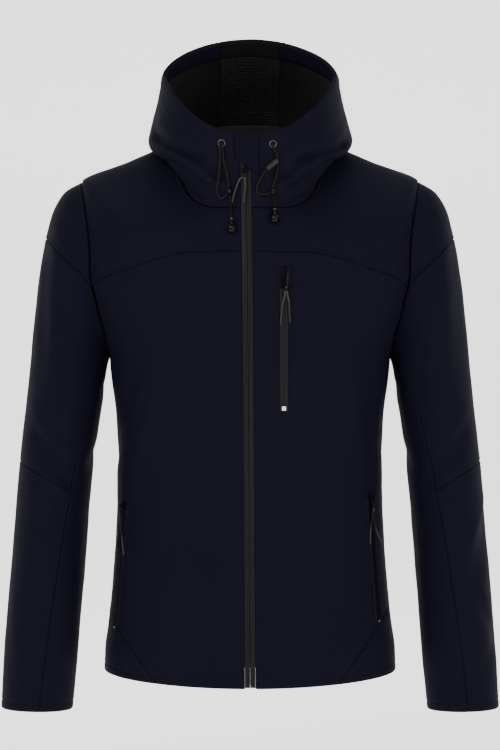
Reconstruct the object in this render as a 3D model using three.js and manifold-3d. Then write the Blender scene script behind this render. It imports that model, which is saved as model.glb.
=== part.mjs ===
// A men's softshell jacket with a hood, filled out as if worn, with nothing inside.
// Millimetres, +Z up, front towards -Y, the wearer's left towards +X.
// The origin is the centre of the neck opening, level with the two side neck points.
// The cloth is sewn from panels. Each panel is a wall bent over one of three smooth forms:
// the torso, a sleeve or the hood. Panels stop a small gap apart at their seams.
import * as THREE from 'three';
import Module from 'manifold-3d';
import { mergeVertices } from 'three/addons/utils/BufferGeometryUtils.js';

// Driving dimensions
const CLOTH = 2;                  // bonded softshell, outer face to fleece
const SEAM_GAP = 0.36;            // between two panels at a seam
const LAYER_GAP = 0.3;            // between a panel and what lies on it
const STRIP_WIDTH = 84;           // centre strip of the hood
const ZIP_HALF_WIDTH = 6.6;       // one half of the laminated front zip
const ZIP_THICKNESS = 1.6;
const ZIP_CENTRE_GAP = 0.5;
const CHEST_ZIP = { x: 42.2, top: -167, bottom: -340.5, width: 10.6, thickness: 1.1 };
const HAND_ZIP = { width: 2.5, thickness: 1.1 };
const CORD_DIAMETER = 2.2;        // drawcord
const PULL_CORD_DIAMETER = 1.8;   // strands on the zip pulls
const TOGGLE = { length: 20, radius: 4.8 };
const EYELET = { hole: 3.1, outer: 5.2, height: 1 };
const CUFF_LENGTH = 686;          // along the sleeve from the armhole
const DEGREE = Math.PI / 180;

// The rows of a table, each with its values under the names of the columns
function table(columns, ...rows) {
  return rows.map((row) => Object.fromEntries(columns.map((name, i) => [name, row[i]])));
}

// Rings of the torso. The side height names a ring. bowl is how flat the front dips,
// square is how boxy the ring is in plan.
const torsoRings = table(
  ['side', 'halfWidth', 'yFront', 'yBack', 'zFront', 'zBack', 'square', 'bowl'],
  [-684, 188.5, -130, 125, -695, -698, 2.3, 2],
  [-658, 188.2, -129, 124, -668, -670, 2.3, 2],
  [-626, 184, -127, 122, -636, -637, 2.3, 2],
  [-564, 177.5, -123, 116, -572, -572, 2.3, 2],
  [-502, 173, -120, 108, -509, -509, 2.3, 2],
  [-440, 171, -121, 105, -446, -446, 2.3, 2],
  [-361, 173.5, -128, 112, -366, -364, 2.3, 2],
  [-299, 180, -134, 121, -304, -301, 2.3, 2],
  [-278, 182, -135, 123, -285, -280, 2.3, 2],
  [-250, 191, -134.5, 124, -261, -252, 2.3, 2],
  [-212, 208, -133, 124, -230, -214, 2.3, 2],
  [-158, 223, -130, 120, -196, -160, 2.3, 2.2],
  [-100, 223, -126, 112, -163, -106, 2.3, 2.6],
  [-52, 218, -121, 98, -134, -50, 2.3, 3.2],
  [-26, 158, -117, 84, -113, -14, 2.25, 4.6],
  [0, 98, -114, 66, -93, 16, 2.2, 6],
);

// Rings of the hood from the neck seam to the rim. rise is how the back half climbs.
const hoodRings = table(
  ['ring', 'halfWidth', 'yFront', 'ySide', 'yBack', 'zFront', 'zSide', 'zBack', 'bowl', 'rise'],
  [0, 98, -114, 0, 66, -93, 0, 16, 6, 2],
  [0.4, 100.5, -114, 0, 73, -87.5, 7, 27, 5.6, 2],
  [1, 110, -113.8, 0, 104, -79, 7, 14, 5, 2],
  [2, 122, -113.5, -1, 147, -66, -3, -16, 4.2, 2],
  [3, 130, -113.2, -3, 160, -50, 3, 14, 3.6, 1.8],
  [4, 127, -113, -6, 144, -34, 18, 60, 3.2, 1.5],
  [5, 121.5, -112.6, -11, 110, -20, 38, 98, 2.8, 1.3],
  [6, 117, -112.3, -16, 76, -9, 62, 122, 2.5, 1.3],
  [7, 113.5, -112, -20, 50, 0, 84, 141, 2.4, 1.25],
);
const RIM = 7;
const hoodSquare = 2.2;

// Where the hood's side hangs over the chest: the ring of the fold's lower edge, and how far it stands out
const hoodFold = [
  { angle: 0, ring: 2, proud: 0 },
  { angle: 14, ring: 2.2, proud: 0 },
  { angle: 26, ring: 2.9, proud: 7 },
  { angle: 42, ring: 3.9, proud: 10 },
  { angle: 62, ring: 3.2, proud: 7 },
  { angle: 90, ring: 2.2, proud: 3 },
  { angle: 125, ring: 2, proud: 0 },
  { angle: 180, ring: 2, proud: 0 },
];
const FOLD_RISE = 1.9;            // rings over which the fold swells back to the hood's side
const FOLD_TUCK = 0.9;            // rings below the fold over which the cloth is drawn in
const FOLD_DIP = 1.35;            // how far it is drawn in there, as a share of the fold
const FOLD_FADE = { neck: 0.6, rim: 5.5 };

// Stations of a sleeve: its outer and inner line seen from the front, and its depth front and back
const sleeveStations = [
  { along: 20, outerX: 241, outerZ: -66, innerX: 184.6, innerZ: -288, yFront: -64, yBack: 68 },
  { along: 45, outerX: 258, outerZ: -96, innerX: 186.8, innerZ: -299, yFront: -66, yBack: 70 },
  { along: 110, outerX: 272, outerZ: -162, innerX: 188.8, innerZ: -314, yFront: -67, yBack: 71 },
  { along: 185, outerX: 281, outerZ: -240, innerX: 191, innerZ: -333, yFront: -67, yBack: 71 },
  { along: 245, outerX: 286.5, outerZ: -299, innerX: 195.7, innerZ: -362, yFront: -66, yBack: 70 },
  { along: 310, outerX: 293, outerZ: -361, innerX: 200.3, innerZ: -398, yFront: -64, yBack: 68 },
  { along: 370, outerX: 299.5, outerZ: -422, innerX: 205.5, innerZ: -442, yFront: -62, yBack: 63 },
  { along: 435, outerX: 305, outerZ: -486, innerX: 211, innerZ: -496, yFront: -61, yBack: 57 },
  { along: 530, outerX: 312.6, outerZ: -580, innerX: 217.4, innerZ: -585, yFront: -56, yBack: 47 },
  { along: 625, outerX: 320.4, outerZ: -674, innerX: 224.4, innerZ: -676, yFront: -50, yBack: 35 },
  { along: CUFF_LENGTH, outerX: 323, outerZ: -734, innerX: 230.6, innerZ: -736, yFront: -47, yBack: 27 },
];

// The armhole from the side: an oval from the shoulder tip round to the underarm
const ARMHOLE = { top: -52, bottom: -278, yFront: -62, yBack: 66 };
const armholeTurns = {            // angles from the shoulder tip, to the front or the back
  yoke: 103.5,
  sleeveSeam: 142.5,
  gusset: 165,
  underarm: 180,
};

// Front edge of the fronts: the line of the zip, a little off centre as the cloth hangs
const zipLine = [
  { z: -697, x: 0.3 },
  { z: -149, x: -3.6 },
  { z: -93, x: -4.6 },
  { z: 2, x: -6.4 },
];

// Front yoke seam from the zip to the armhole, where it meets the armhole's own point
const frontYokeSeam = [
  { x: 14, z: -147 },
  { x: 70, z: -148 },
  { x: 113, z: -155.5 },
  { x: 154, z: -169 },
];
const BACK_YOKE_CENTRE = -150;    // height of the back yoke seam in the middle of the back

// Side panel: the turns of its two seams, how high its lower wings start, and the turns of the wings'
// feet at the hem. The two sides hang a little apart.
const sidePanels = {
  left: { front: 86, back: 98, wingTop: -600, frontWing: 34.5, backWing: 142 },
  right: { front: 86, back: 98, wingTop: -611, frontWing: 36.5, backWing: 140 },
};

// Elbow seam and sleeve seams, each by how far along the sleeve or round it they run
const elbowSeam = { outer: 362, front: 390, back: 386 };
const CAP_SEAM = 74;
const sleeveSeam = [
  { along: 0, front: 142.5, back: 142.5, turn: 0 },
  { along: 150, front: 136, back: 138, turn: 0.4 },
  { along: 290, front: 126, back: 132, turn: 0.8 },
  { along: 390, front: 118, back: 126, turn: 1 },
  { along: 480, front: 108, back: 118, turn: 1 },
  { along: 600, front: 97, back: 108, turn: 1 },
  { along: CUFF_LENGTH, front: 92, back: 104, turn: 1 },
];
const SLEEVE_TURN = 6;            // the two sleeves lie turned a little, one forwards and one back
const SLEEVE_RADIUS = 52;         // mean, used to measure lengths round a sleeve

// Soft creases: a straight trough or ridge on a form, with its two ends, width and height
const torsoCreases = [
  { x1: -126, z1: -286, x2: -162, z2: -440, width: 17, height: 2.6, face: -1 },
  { x1: -142, z1: -290, x2: -176, z2: -420, width: 15, height: -3, face: -1 },
  { x1: 132, z1: -296, x2: 150, z2: -440, width: 17, height: 2.2, face: -1 },
  { x1: 150, z1: -300, x2: 168, z2: -400, width: 15, height: -2.6, face: -1 },
  { x1: -120, z1: -300, x2: -158, z2: -450, width: 20, height: -3, face: 1 },
  { x1: 116, z1: -290, x2: 152, z2: -430, width: 20, height: -3, face: 1 },
  { x1: -60, z1: -430, x2: 70, z2: -446, width: 24, height: -2.4, face: 1 },
];
const sleeveCreases = [
  { turn1: 60, along1: 330, turn2: 118, along2: 372, width: 16, height: -3.2, side: 0 },
  { turn1: 30, along1: 60, turn2: 52, along2: 250, width: 18, height: -2.4, side: 0 },
  { turn1: 70, along1: 120, turn2: 96, along2: 290, width: 18, height: 2.2, side: 0 },
  { turn1: 20, along1: 440, turn2: 64, along2: 520, width: 15, height: -2.8, side: 1 },
  { turn1: 64, along1: 520, turn2: 12, along2: 590, width: 15, height: -2.8, side: 1 },
  { turn1: 300, along1: 320, turn2: 240, along2: 360, width: 17, height: -3, side: 0 },
  { turn1: 200, along1: 300, turn2: 160, along2: 340, width: 15, height: -2.6, side: 0 },
];

const colours = {
  cloth: 0x141a2c, fleece: 0x0c0c0e, laminate: 0x2c2c2f, black: 0x101012,
  metal: 0x55524d, taupe: 0x4a433b, white: 0xd8d8d6, cord: 0x1b1a1b,
};

// Smooth value of one column of a table between its rows, without overshoot
function column(rows, by, key, at) {
  const last = rows.length - 1;
  let i = rows.findIndex((row) => at <= row[by]) - 1;
  if (i < 0) i = at <= rows[0][by] ? 0 : last - 1;
  const slope = (k) => (rows[k + 1][key] - rows[k][key]) / (rows[k + 1][by] - rows[k][by]);
  const tangent = (k) => {
    if (k === 0) return slope(0);
    if (k === last) return slope(last - 1);
    const before = slope(k - 1);
    const after = slope(k);
    return before * after <= 0 ? 0 : 2 * before * after / (before + after);
  };
  const step = rows[i + 1][by] - rows[i][by];
  const t = THREE.MathUtils.clamp((at - rows[i][by]) / step, 0, 1);
  const rise = (2 * t - 3) * t * t;
  return rows[i][key] * (1 + rise) + rows[i + 1][key] * -rise
    + step * (tangent(i) * t * (1 - t) ** 2 - tangent(i + 1) * t * t * (1 - t));
}

// A row between the rows of a table, with every column
function between(rows, by, at) {
  const row = {};
  for (const key of Object.keys(rows[0])) row[key] = key === by ? at : column(rows, by, key, at);
  return row;
}

// A point of a ring at a turn from the centre front, in degrees, positive towards +X
function ringPoint(ring, turn, square, rise) {
  const across = Math.sin(turn * DEGREE);
  const ahead = Math.cos(turn * DEGREE);
  const reach = (Math.abs(across) ** square + Math.abs(ahead) ** square) ** (-1 / square);
  const isFront = ahead > 0;
  const yEnd = isFront ? ring.yFront : ring.yBack;
  const zEnd = isFront ? ring.zFront : ring.zBack;
  const share = isFront ? 1 - Math.abs(across) ** ring.bowl : Math.abs(ahead) ** rise;
  return new THREE.Vector3(
    ring.halfWidth * reach * across,
    ring.ySide + (yEnd - ring.ySide) * reach * Math.abs(ahead),
    ring.zSide + (zEnd - ring.zSide) * share,
  );
}

// Height of all creases at a place, given by two lengths measured on the cloth
function creaseHeight(creases, ends, a, b) {
  let height = 0;
  for (const crease of creases) {
    const [a1, b1, a2, b2] = ends(crease);
    const run = Math.hypot(a2 - a1, b2 - b1);
    const t = ((a - a1) * (a2 - a1) + (b - b1) * (b2 - b1)) / (run * run);
    const off = Math.hypot(a - a1 - t * (a2 - a1), b - b1 - t * (b2 - b1)) / crease.width;
    const past = Math.max(0, Math.abs(t - 0.5) - 0.35) * run / (1.6 * crease.width);
    height += crease.height * Math.exp(-off * off - past * past);
  }
  return height;
}

function plainTorso(turn, side) {
  const ring = between(torsoRings, 'side', side);
  ring.ySide = 0;
  ring.zSide = side;
  return ringPoint(ring, turn, ring.square, 2);
}

function plainHood(turn, at) {
  return ringPoint(between(hoodRings, 'ring', at), turn, hoodSquare, column(hoodRings, 'ring', 'rise', at));
}

// Outward normal of a form, from two small steps over it
function normalOf(form, a, b, stepA = 0.2, stepB = 0.02) {
  const overA = form(a + stepA, b).sub(form(a - stepA, b));
  const overB = form(a, b + stepB).sub(form(a, b - stepB));
  return overA.cross(overB).normalize();
}

function torso(turn, side) {
  const point = plainTorso(turn, side);
  const face = Math.abs(turn) < 90 ? -1 : 1;
  const ends = (c) => [c.x1, c.z1, c.x2, c.z2];
  const creases = torsoCreases.filter((crease) => crease.face === face);
  const height = creaseHeight(creases, ends, point.x, point.z);
  if (Math.abs(height) < 0.01) return point;
  return point.addScaledVector(normalOf(plainTorso, turn, side, 0.2, 0.5), height);
}

function hood(turn, at) {
  const point = plainHood(turn, at);
  const angle = Math.abs(turn);
  const proud = column(hoodFold, 'angle', 'proud', angle);
  const over = at - column(hoodFold, 'angle', 'ring', angle);
  const swell = over > 0
    ? Math.exp(-((over / FOLD_RISE) ** 2))
    : 1 - FOLD_DIP * Math.min(1, -over / FOLD_TUCK) ** 2;
  const held = THREE.MathUtils.smoothstep(at, 0, FOLD_FADE.neck)
    * (1 - THREE.MathUtils.smoothstep(at, FOLD_FADE.rim, RIM));
  const height = proud * swell * held;
  return Math.abs(height) < 0.01 ? point : point.addScaledVector(normalOf(plainHood, turn, at), height);
}

// Finds the place on a form where one coordinate and the height have given values, by halving
const HALVINGS = 34;
function locate(form, axis, value, z, low, high, turns) {
  let [a, b] = [low, high];
  let turn = 0;
  for (let pass = 0; pass < HALVINGS; pass += 1) {
    const at = (a + b) / 2;
    let [t1, t2] = turns;
    const rising = form(t2, at)[axis] > form(t1, at)[axis];
    for (let i = 0; i < HALVINGS; i += 1) {
      turn = (t1 + t2) / 2;
      if ((form(turn, at)[axis] < value) === rising) t1 = turn;
      else t2 = turn;
    }
    if (form(turn, at).z < z) a = at;
    else b = at;
  }
  return [turn, (a + b) / 2];
}

const onTorsoFront = (x, z) => locate(plainTorso, 'x', x, z, -684, 0, [-90, 90]);
const onTorsoSide = (y, z, side) => (
  locate(plainTorso, 'y', y, z, -684, 0, y > 0 ? [90 * side, 180 * side] : [0, 90 * side]));
const onHoodFront = (x, z) => locate(plainHood, 'x', x, z, 0, RIM, [-90, 90]);

// The front of the jacket at x and z, on the torso below the neck seam and on the hood above it
function frontPlace(x, z) {
  const [turn, side] = onTorsoFront(x, z);
  if (side < -0.01) return { form: torso, a: turn, b: side };
  const [hoodTurn, ring] = onHoodFront(x, z);
  return { form: hood, a: hoodTurn, b: ring };
}

function frontPoint(x, z, lift = 0) {
  const place = frontPlace(x, z);
  return place.form(place.a, place.b).addScaledVector(normalOf(place.form, place.a, place.b), lift);
}

// Angles round the armhole, from the shoulder tip down to the underarm, shared by all that meet there
const YOKE_AT = 7;
const SLEEVE_SEAM_AT = 9;
const GUSSET_AT = 11;
const UNDERARM_AT = 13;
const armholeAngles = [];
for (let i = 0; i < YOKE_AT; i += 1) armholeAngles.push(armholeTurns.yoke * i / YOKE_AT);
for (let i = 0; i < 2; i += 1) {
  armholeAngles.push(armholeTurns.yoke + (armholeTurns.sleeveSeam - armholeTurns.yoke) * i / 2);
}
for (let i = 0; i < 2; i += 1) {
  armholeAngles.push(armholeTurns.sleeveSeam + (armholeTurns.gusset - armholeTurns.sleeveSeam) * i / 2);
}
for (let i = 0; i <= 2; i += 1) {
  armholeAngles.push(armholeTurns.gusset + (armholeTurns.underarm - armholeTurns.gusset) * i / 2);
}

// Place on the torso of an armhole angle, in degrees from the shoulder tip; negative is the back
const armholeCache = new Map();
function armholePlace(angle, side) {
  const key = `${angle.toFixed(4)} ${side}`;
  if (armholeCache.has(key)) return armholeCache.get(key);
  const reach = angle >= 0 ? ARMHOLE.yFront : ARMHOLE.yBack;
  const y = reach * Math.sin(Math.abs(angle) * DEGREE);
  const z = (ARMHOLE.top + ARMHOLE.bottom) / 2 + (ARMHOLE.top - ARMHOLE.bottom) / 2 * Math.cos(angle * DEGREE);
  let place;
  if (Math.abs(angle) < 0.01) place = [90 * side, ARMHOLE.top];
  else if (Math.abs(angle) > 179.99) place = [90 * side, ARMHOLE.bottom];
  else place = onTorsoSide(y, z, side);
  armholeCache.set(key, place);
  return place;
}

// A sleeve at an angle round it, 0 outside, 90 in front, 180 towards the body, and a length along it
function plainSleeve(angle, along, side) {
  let turn = angle;
  while (turn > 180) turn -= 360;
  while (turn < -180) turn += 360;
  const across = Math.cos(turn * DEGREE);
  const ahead = Math.sin(turn * DEGREE);
  const station = (row) => {
    const y = ahead > 0 ? row.yFront : row.yBack;
    return [
      (row.outerX + row.innerX) / 2 + (row.outerX - row.innerX) / 2 * across,
      y * Math.abs(ahead),
      (row.outerZ + row.innerZ) / 2 + (row.outerZ - row.innerZ) / 2 * across,
    ];
  };
  const start = torso(...armholePlace(turn, side));
  const rows = [{ along: 0, x: start.x * side, y: start.y, z: start.z }];
  for (const row of sleeveStations) {
    const [x, y, z] = station(row);
    rows.push({ along: row.along, x, y, z });
  }
  const at = between(rows, 'along', along);
  return new THREE.Vector3(at.x * side, at.y, at.z);
}

const sleeveForms = {};
for (const side of [1, -1]) {
  const plain = (angle, along) => plainSleeve(angle, along, side);
  sleeveForms[side] = (angle, along) => {
    const point = plain(angle, along);
    const turn = (angle + 720) % 360;
    const round = SLEEVE_RADIUS * DEGREE;
    const ends = (c) => [c.turn1 * round, c.along1, c.turn2 * round, c.along2];
    const creases = sleeveCreases.filter((crease) => crease.side === 0 || crease.side === side);
    const height = creaseHeight(creases, ends, turn * round, along);
    if (Math.abs(height) < 0.01) return point;
    const normal = normalOf(plain, angle, along, 0.5, 0.5).multiplyScalar(side);
    return point.addScaledVector(normal, height);
  };
}

// Fills a grid of places between four edges of places, each edge a list from corner to corner
function fillBetween(bottom, top, left, right) {
  const columns = bottom.length - 1;
  const rows = left.length - 1;
  const grid = [];
  for (let j = 0; j <= rows; j += 1) {
    const v = j / rows;
    const row = [];
    for (let i = 0; i <= columns; i += 1) {
      const u = i / columns;
      row.push([0, 1].map((k) => (1 - v) * bottom[i][k] + v * top[i][k] + (1 - u) * left[j][k] + u * right[j][k]
        - (1 - u) * (1 - v) * bottom[0][k] - u * (1 - v) * bottom[columns][k]
        - (1 - u) * v * top[0][k] - u * v * top[columns][k]));
    }
    grid.push(row);
  }
  return grid;
}

// A list of places from one place to another, by equal steps
function stepsBetween(from, to, count) {
  return Array.from({ length: count + 1 }, (_, i) => (
    [0, 1].map((k) => from[k] + (to[k] - from[k]) * i / count)));
}

const join = (...lists) => lists.reduce((all, list) => all.concat(all.length ? list.slice(1) : list), []);

// Panels wait here until all are known, so that neighbours can share one direction along their seam
const panels = [];
const seamPoints = new Map();
const keyOf = (point) => point.toArray().map((value) => Math.round(value * 20)).join(' ');

function addPanel(name, form, grid, colour, outward = 1) {
  const points = grid.map((row) => row.map(([a, b]) => form(a, b)));
  const stepB = form === hood ? 0.03 : 0.3;
  const normals = grid.map((row) => row.map(([a, b]) => (
    normalOf(form, a, b, 0.3, stepB).multiplyScalar(outward))));
  panels.push({ name, points, normals, colour });
  const seen = new Set();
  const [rows, columns] = [points.length - 1, points[0].length - 1];
  points.forEach((row, j) => row.forEach((point, i) => {
    if (j > 0 && j < rows && i > 0 && i < columns) return;
    const key = keyOf(point);
    if (seen.has(key)) return;
    seen.add(key);
    const within = points[THREE.MathUtils.clamp(j, 1, rows - 1)][THREE.MathUtils.clamp(i, 1, columns - 1)];
    if (!seamPoints.has(key)) seamPoints.set(key, []);
    seamPoints.get(key).push({ normal: normals[j][i], into: within.clone().sub(point).normalize() });
  }));
}

// The way out of the cloth at a seam point: the mean normal, or on a sharp fold the fold's middle.
// fold is 0 where the panels lie in one plane and 1 where they lie back to back.
function seamDirection(key) {
  const meets = seamPoints.get(key);
  if (!meets || meets.length < 2) return null;
  const normal = new THREE.Vector3();
  const into = new THREE.Vector3();
  let valley = 0;
  for (const one of meets) {
    normal.add(one.normal);
    into.add(one.into);
    for (const other of meets) if (other !== one) valley += one.normal.dot(other.into);
  }
  const fold = 1 - normal.length() / meets.length;
  if (fold > 0.15) normal.addScaledVector(into, Math.sign(valley));
  return { direction: normal.normalize(), fold };
}

// A mesh body from two grids of points that face away from each other
function closedWall(outer, inner) {
  const rows = outer.length;
  const columns = outer[0].length;
  const corners = [];
  const put = (a, b, c, d) => corners.push(a, b, c, a, c, d);
  for (let j = 0; j < rows - 1; j += 1) {
    for (let i = 0; i < columns - 1; i += 1) {
      put(outer[j][i], outer[j][i + 1], outer[j + 1][i + 1], outer[j + 1][i]);
      put(inner[j][i], inner[j + 1][i], inner[j + 1][i + 1], inner[j][i + 1]);
    }
  }
  for (let i = 0; i < columns - 1; i += 1) {
    put(outer[0][i], inner[0][i], inner[0][i + 1], outer[0][i + 1]);
    put(outer[rows - 1][i], outer[rows - 1][i + 1], inner[rows - 1][i + 1], inner[rows - 1][i]);
  }
  for (let j = 0; j < rows - 1; j += 1) {
    put(outer[j][0], outer[j + 1][0], inner[j + 1][0], inner[j][0]);
    put(outer[j][columns - 1], inner[j][columns - 1], inner[j + 1][columns - 1], outer[j + 1][columns - 1]);
  }
  return fromCorners(corners);
}

// Joins corners into a closed geometry, drops triangles without area and turns its faces out
function fromCorners(corners) {
  const index = new Map();
  const positions = [];
  const places = corners.map((point) => {
    const key = point.toArray().map((value) => value.toFixed(3)).join(' ');
    if (!index.has(key)) {
      index.set(key, positions.length / 3);
      positions.push(point.x, point.y, point.z);
    }
    return index.get(key);
  });
  const triangles = [];
  let volume = 0;
  for (let i = 0; i < places.length; i += 3) {
    const [a, b, c] = places.slice(i, i + 3);
    if (a === b || b === c || a === c) continue;
    triangles.push(a, b, c);
    const [pa, pb, pc] = [a, b, c].map((k) => new THREE.Vector3().fromArray(positions, 3 * k));
    volume += pa.dot(pb.cross(pc));
  }
  if (volume < 0) triangles.reverse();
  const geometry = new THREE.BufferGeometry();
  geometry.setAttribute('position', new THREE.Float32BufferAttribute(positions, 3));
  geometry.setIndex(triangles);
  return geometry;
}

// Draws the edges of a grid in by half the seam gap, so that two panels never touch. Where a panel
// closes to a point, its end is drawn in further.
const POINT_PULL = 6;
function drawEdgesIn(grid, gap) {
  const rows = grid.length - 1;
  const columns = grid[0].length - 1;
  const moved = grid.map((row) => row.map((point) => point.clone()));
  const pull = (j, i, towards, by) => {
    const step = towards.clone().sub(grid[j][i]);
    if (step.length() > 0.01) moved[j][i].add(step.setLength(by));
  };
  for (let i = 0; i <= columns; i += 1) {
    pull(0, i, grid[1][i], gap);
    pull(rows, i, grid[rows - 1][i], gap);
  }
  const middle = Math.round(rows / 2);
  for (const [i, next] of [[0, 1], [columns, columns - 1]]) {
    const closes = grid[0][i].distanceTo(grid[rows][i]) < 0.01;
    for (let j = 0; j <= rows; j += 1) {
      pull(j, i, grid[closes ? middle : j][next], closes ? POINT_PULL * gap : gap);
    }
  }
  return moved;
}

const group = new THREE.Group();

function addMesh(name, geometry, colour, roughness = 0.85, metalness = 0) {
  geometry.computeVertexNormals();
  const material = new THREE.MeshStandardMaterial({ color: colour, roughness, metalness });
  const mesh = new THREE.Mesh(geometry, material);
  mesh.name = name;
  group.add(mesh);
  return mesh;
}

// A strip that lies over or under a form, made from the form's points moved along their normals
function addLayer(name, form, grid, lift, thickness, colour, roughness) {
  const at = (offset) => drawEdgesIn(grid.map((row) => row.map(([a, b]) => form(a, b)
    .addScaledVector(normalOf(form, a, b), offset))), SEAM_GAP / 2);
  return addMesh(name, closedWall(at(lift + thickness), at(lift)), colour, roughness);
}

// Torso panels
const zipEdge = (z, side) => column(zipLine, 'z', 'x', z) + side * ZIP_HALF_WIDTH;
const frontEdgePlace = (z, side) => onTorsoFront(zipEdge(z, side), z);

const FRONT_COLUMNS = 7;
const BACK_COLUMNS = 14;
const WING_ROWS = 3;
const SIDE_ROWS = 8;
const NECK_FRONT_STEPS = 5;
const SLEEVE_UPPER_ROWS = 7;
const SLEEVE_LOWER_ROWS = 4;
const hoodRows = [0, 0.4, 1, 1.7, 2.4, 3.2, 4.1, 5.1, 6.1, RIM];
const HEM_SIDE = torsoRings[0].side;
const HEM_FRONT = torsoRings[0].zFront;
const NECK_FRONT = hoodRings[0].zFront;

// The turn on a ring of the hood where the centre strip's seam runs
function stripTurn(ring) {
  let [near, far] = [90, 180];
  for (let i = 0; i < HALVINGS; i += 1) {
    const turn = (near + far) / 2;
    if (plainHood(turn, ring).x > STRIP_WIDTH / 2) near = turn;
    else far = turn;
  }
  return (near + far) / 2;
}

// The turn on a ring of the hood where its front edge lies, beside the zip
function hoodFrontTurn(ring, side) {
  const z = column(hoodRings, 'ring', 'zFront', ring);
  let [low, high] = [-90, 90];
  for (let i = 0; i < HALVINGS; i += 1) {
    const turn = (low + high) / 2;
    if (plainHood(turn, ring).x < zipEdge(z, side)) low = turn;
    else high = turn;
  }
  return (low + high) / 2;
}

const neckStrip = stripTurn(0);
const NECK_SIDE_STEPS = 11;
const neckBack = join(
  stepsBetween([90, 0], [neckStrip, 0], NECK_SIDE_STEPS),
  stepsBetween([neckStrip, 0], [180, 0], 3),
);
const toOtherSide = (places) => places.map(([turn, at]) => [360 - turn, at]);
const roundTheBack = (places, side) => (side > 0 ? places : places.map(([turn, at]) => [turn + 360, at]));

// The back yoke seam: a shallow arch between the two armholes
function backYokeSeam(count, start) {
  return Array.from({ length: count + 1 }, (_, i) => {
    const turn = start[0] + (360 - 2 * start[0]) * i / count;
    const off = (turn - 180) / (start[0] - 180);
    return [turn, BACK_YOKE_CENTRE + (start[1] - BACK_YOKE_CENTRE) * off ** 2];
  });
}

// The front seam of a side panel's wing, straight as seen from the front
function wingSeam(foot, top) {
  const [low, high] = [plainTorso(...foot), plainTorso(...top)];
  return stepsBetween([low.x, low.z], [high.x, high.z], WING_ROWS).map(([x, z], i) => {
    if (i === 0) return foot;
    return i === WING_ROWS ? top : onTorsoFront(x, z);
  });
}

function frontPanels(side, handed) {
  const armhole = armholeAngles.map((angle) => armholePlace(angle, side));
  const backArmhole = armholeAngles.map((angle) => armholePlace(-angle, side));
  const sidePanel = sidePanels[handed];
  const wingFoot = [sidePanel.frontWing * side, HEM_SIDE];
  const wingFootBack = [sidePanel.backWing * side, HEM_SIDE];
  const wingTop = [sidePanel.front * side, sidePanel.wingTop];
  const wingTopBack = [sidePanel.back * side, sidePanel.wingTop];
  const frontSeam = join(
    wingSeam(wingFoot, wingTop),
    stepsBetween(wingTop, armhole[GUSSET_AT], SIDE_ROWS),
  );
  const backSeam = join(
    stepsBetween(wingFootBack, wingTopBack, WING_ROWS),
    stepsBetween(wingTopBack, backArmhole[GUSSET_AT], SIDE_ROWS),
  );

  const seamTop = frontYokeSeam[0].z;
  const yokeStart = frontEdgePlace(seamTop, side);
  const onTheWay = frontYokeSeam.slice(1).map(({ x, z }) => onTorsoFront(side * x, z));
  const knots = [yokeStart, ...onTheWay, armhole[YOKE_AT]].map(([turn, at]) => ({ turn: turn * side, at }));
  const [first, last] = [knots[0].turn, knots[knots.length - 1].turn];
  const yokeSeam = Array.from({ length: FRONT_COLUMNS + 1 }, (_, i) => {
    const turn = first + (last - first) * i / FRONT_COLUMNS;
    return [turn * side, column(knots, 'turn', 'at', turn)];
  });

  // Front body: hem, zip edge, yoke seam, and the side seam with the lower front of the armhole
  const hemStart = onTorsoFront(zipEdge(HEM_FRONT, side), HEM_FRONT + 0.05)[0];
  const hem = stepsBetween([hemStart, HEM_SIDE], wingFoot, FRONT_COLUMNS);
  const bodySide = join(frontSeam, armhole.slice(YOKE_AT, GUSSET_AT + 1).reverse());
  const rows = bodySide.length - 1;
  const bodyFront = bodySide.map((_, j) => {
    if (j === 0) return hem[0];
    if (j === rows) return yokeStart;
    return frontEdgePlace(HEM_FRONT + (seamTop - HEM_FRONT) * j / rows, side);
  });
  addPanel(`front_body_${handed}`, torso, fillBetween(hem, yokeSeam, bodyFront, bodySide), colours.cloth);

  // Front yoke: its inner edge runs up the zip and round the neck, its top is the shoulder seam
  const neckStart = [frontEdgePlace(NECK_FRONT + 0.1, side)[0], 0];
  const neckFront = stepsBetween(neckStart, [90 * side, 0], NECK_FRONT_STEPS);
  const zipSteps = YOKE_AT - NECK_FRONT_STEPS;
  const besideZip = stepsBetween(yokeStart, neckStart, zipSteps).map((place, i) => {
    if (i === 0 || i === zipSteps) return place;
    return frontEdgePlace(seamTop + (NECK_FRONT - seamTop) * i / zipSteps, side);
  });
  const yokeInner = join(besideZip, neckFront);
  const yokeOuter = armhole.slice(0, YOKE_AT + 1).reverse();
  const shoulder = stepsBetween([90 * side, 0], [90 * side, ARMHOLE.top], FRONT_COLUMNS);
  addPanel(`front_yoke_${handed}`, torso, fillBetween(yokeSeam, shoulder, yokeInner, yokeOuter), colours.cloth);

  // Side panel: narrow under the arm, with wings at the hem
  const underarm = [...armhole.slice(GUSSET_AT), ...backArmhole.slice(GUSSET_AT, UNDERARM_AT).reverse()];
  const across = underarm.length - 1;
  const foot = stepsBetween(wingFoot, wingFootBack, across);
  addPanel(`side_panel_${handed}`, torso, fillBetween(foot, underarm, frontSeam, backSeam), colours.cloth);
  return { backArmhole, backSeam, neckFront };
}

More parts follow.
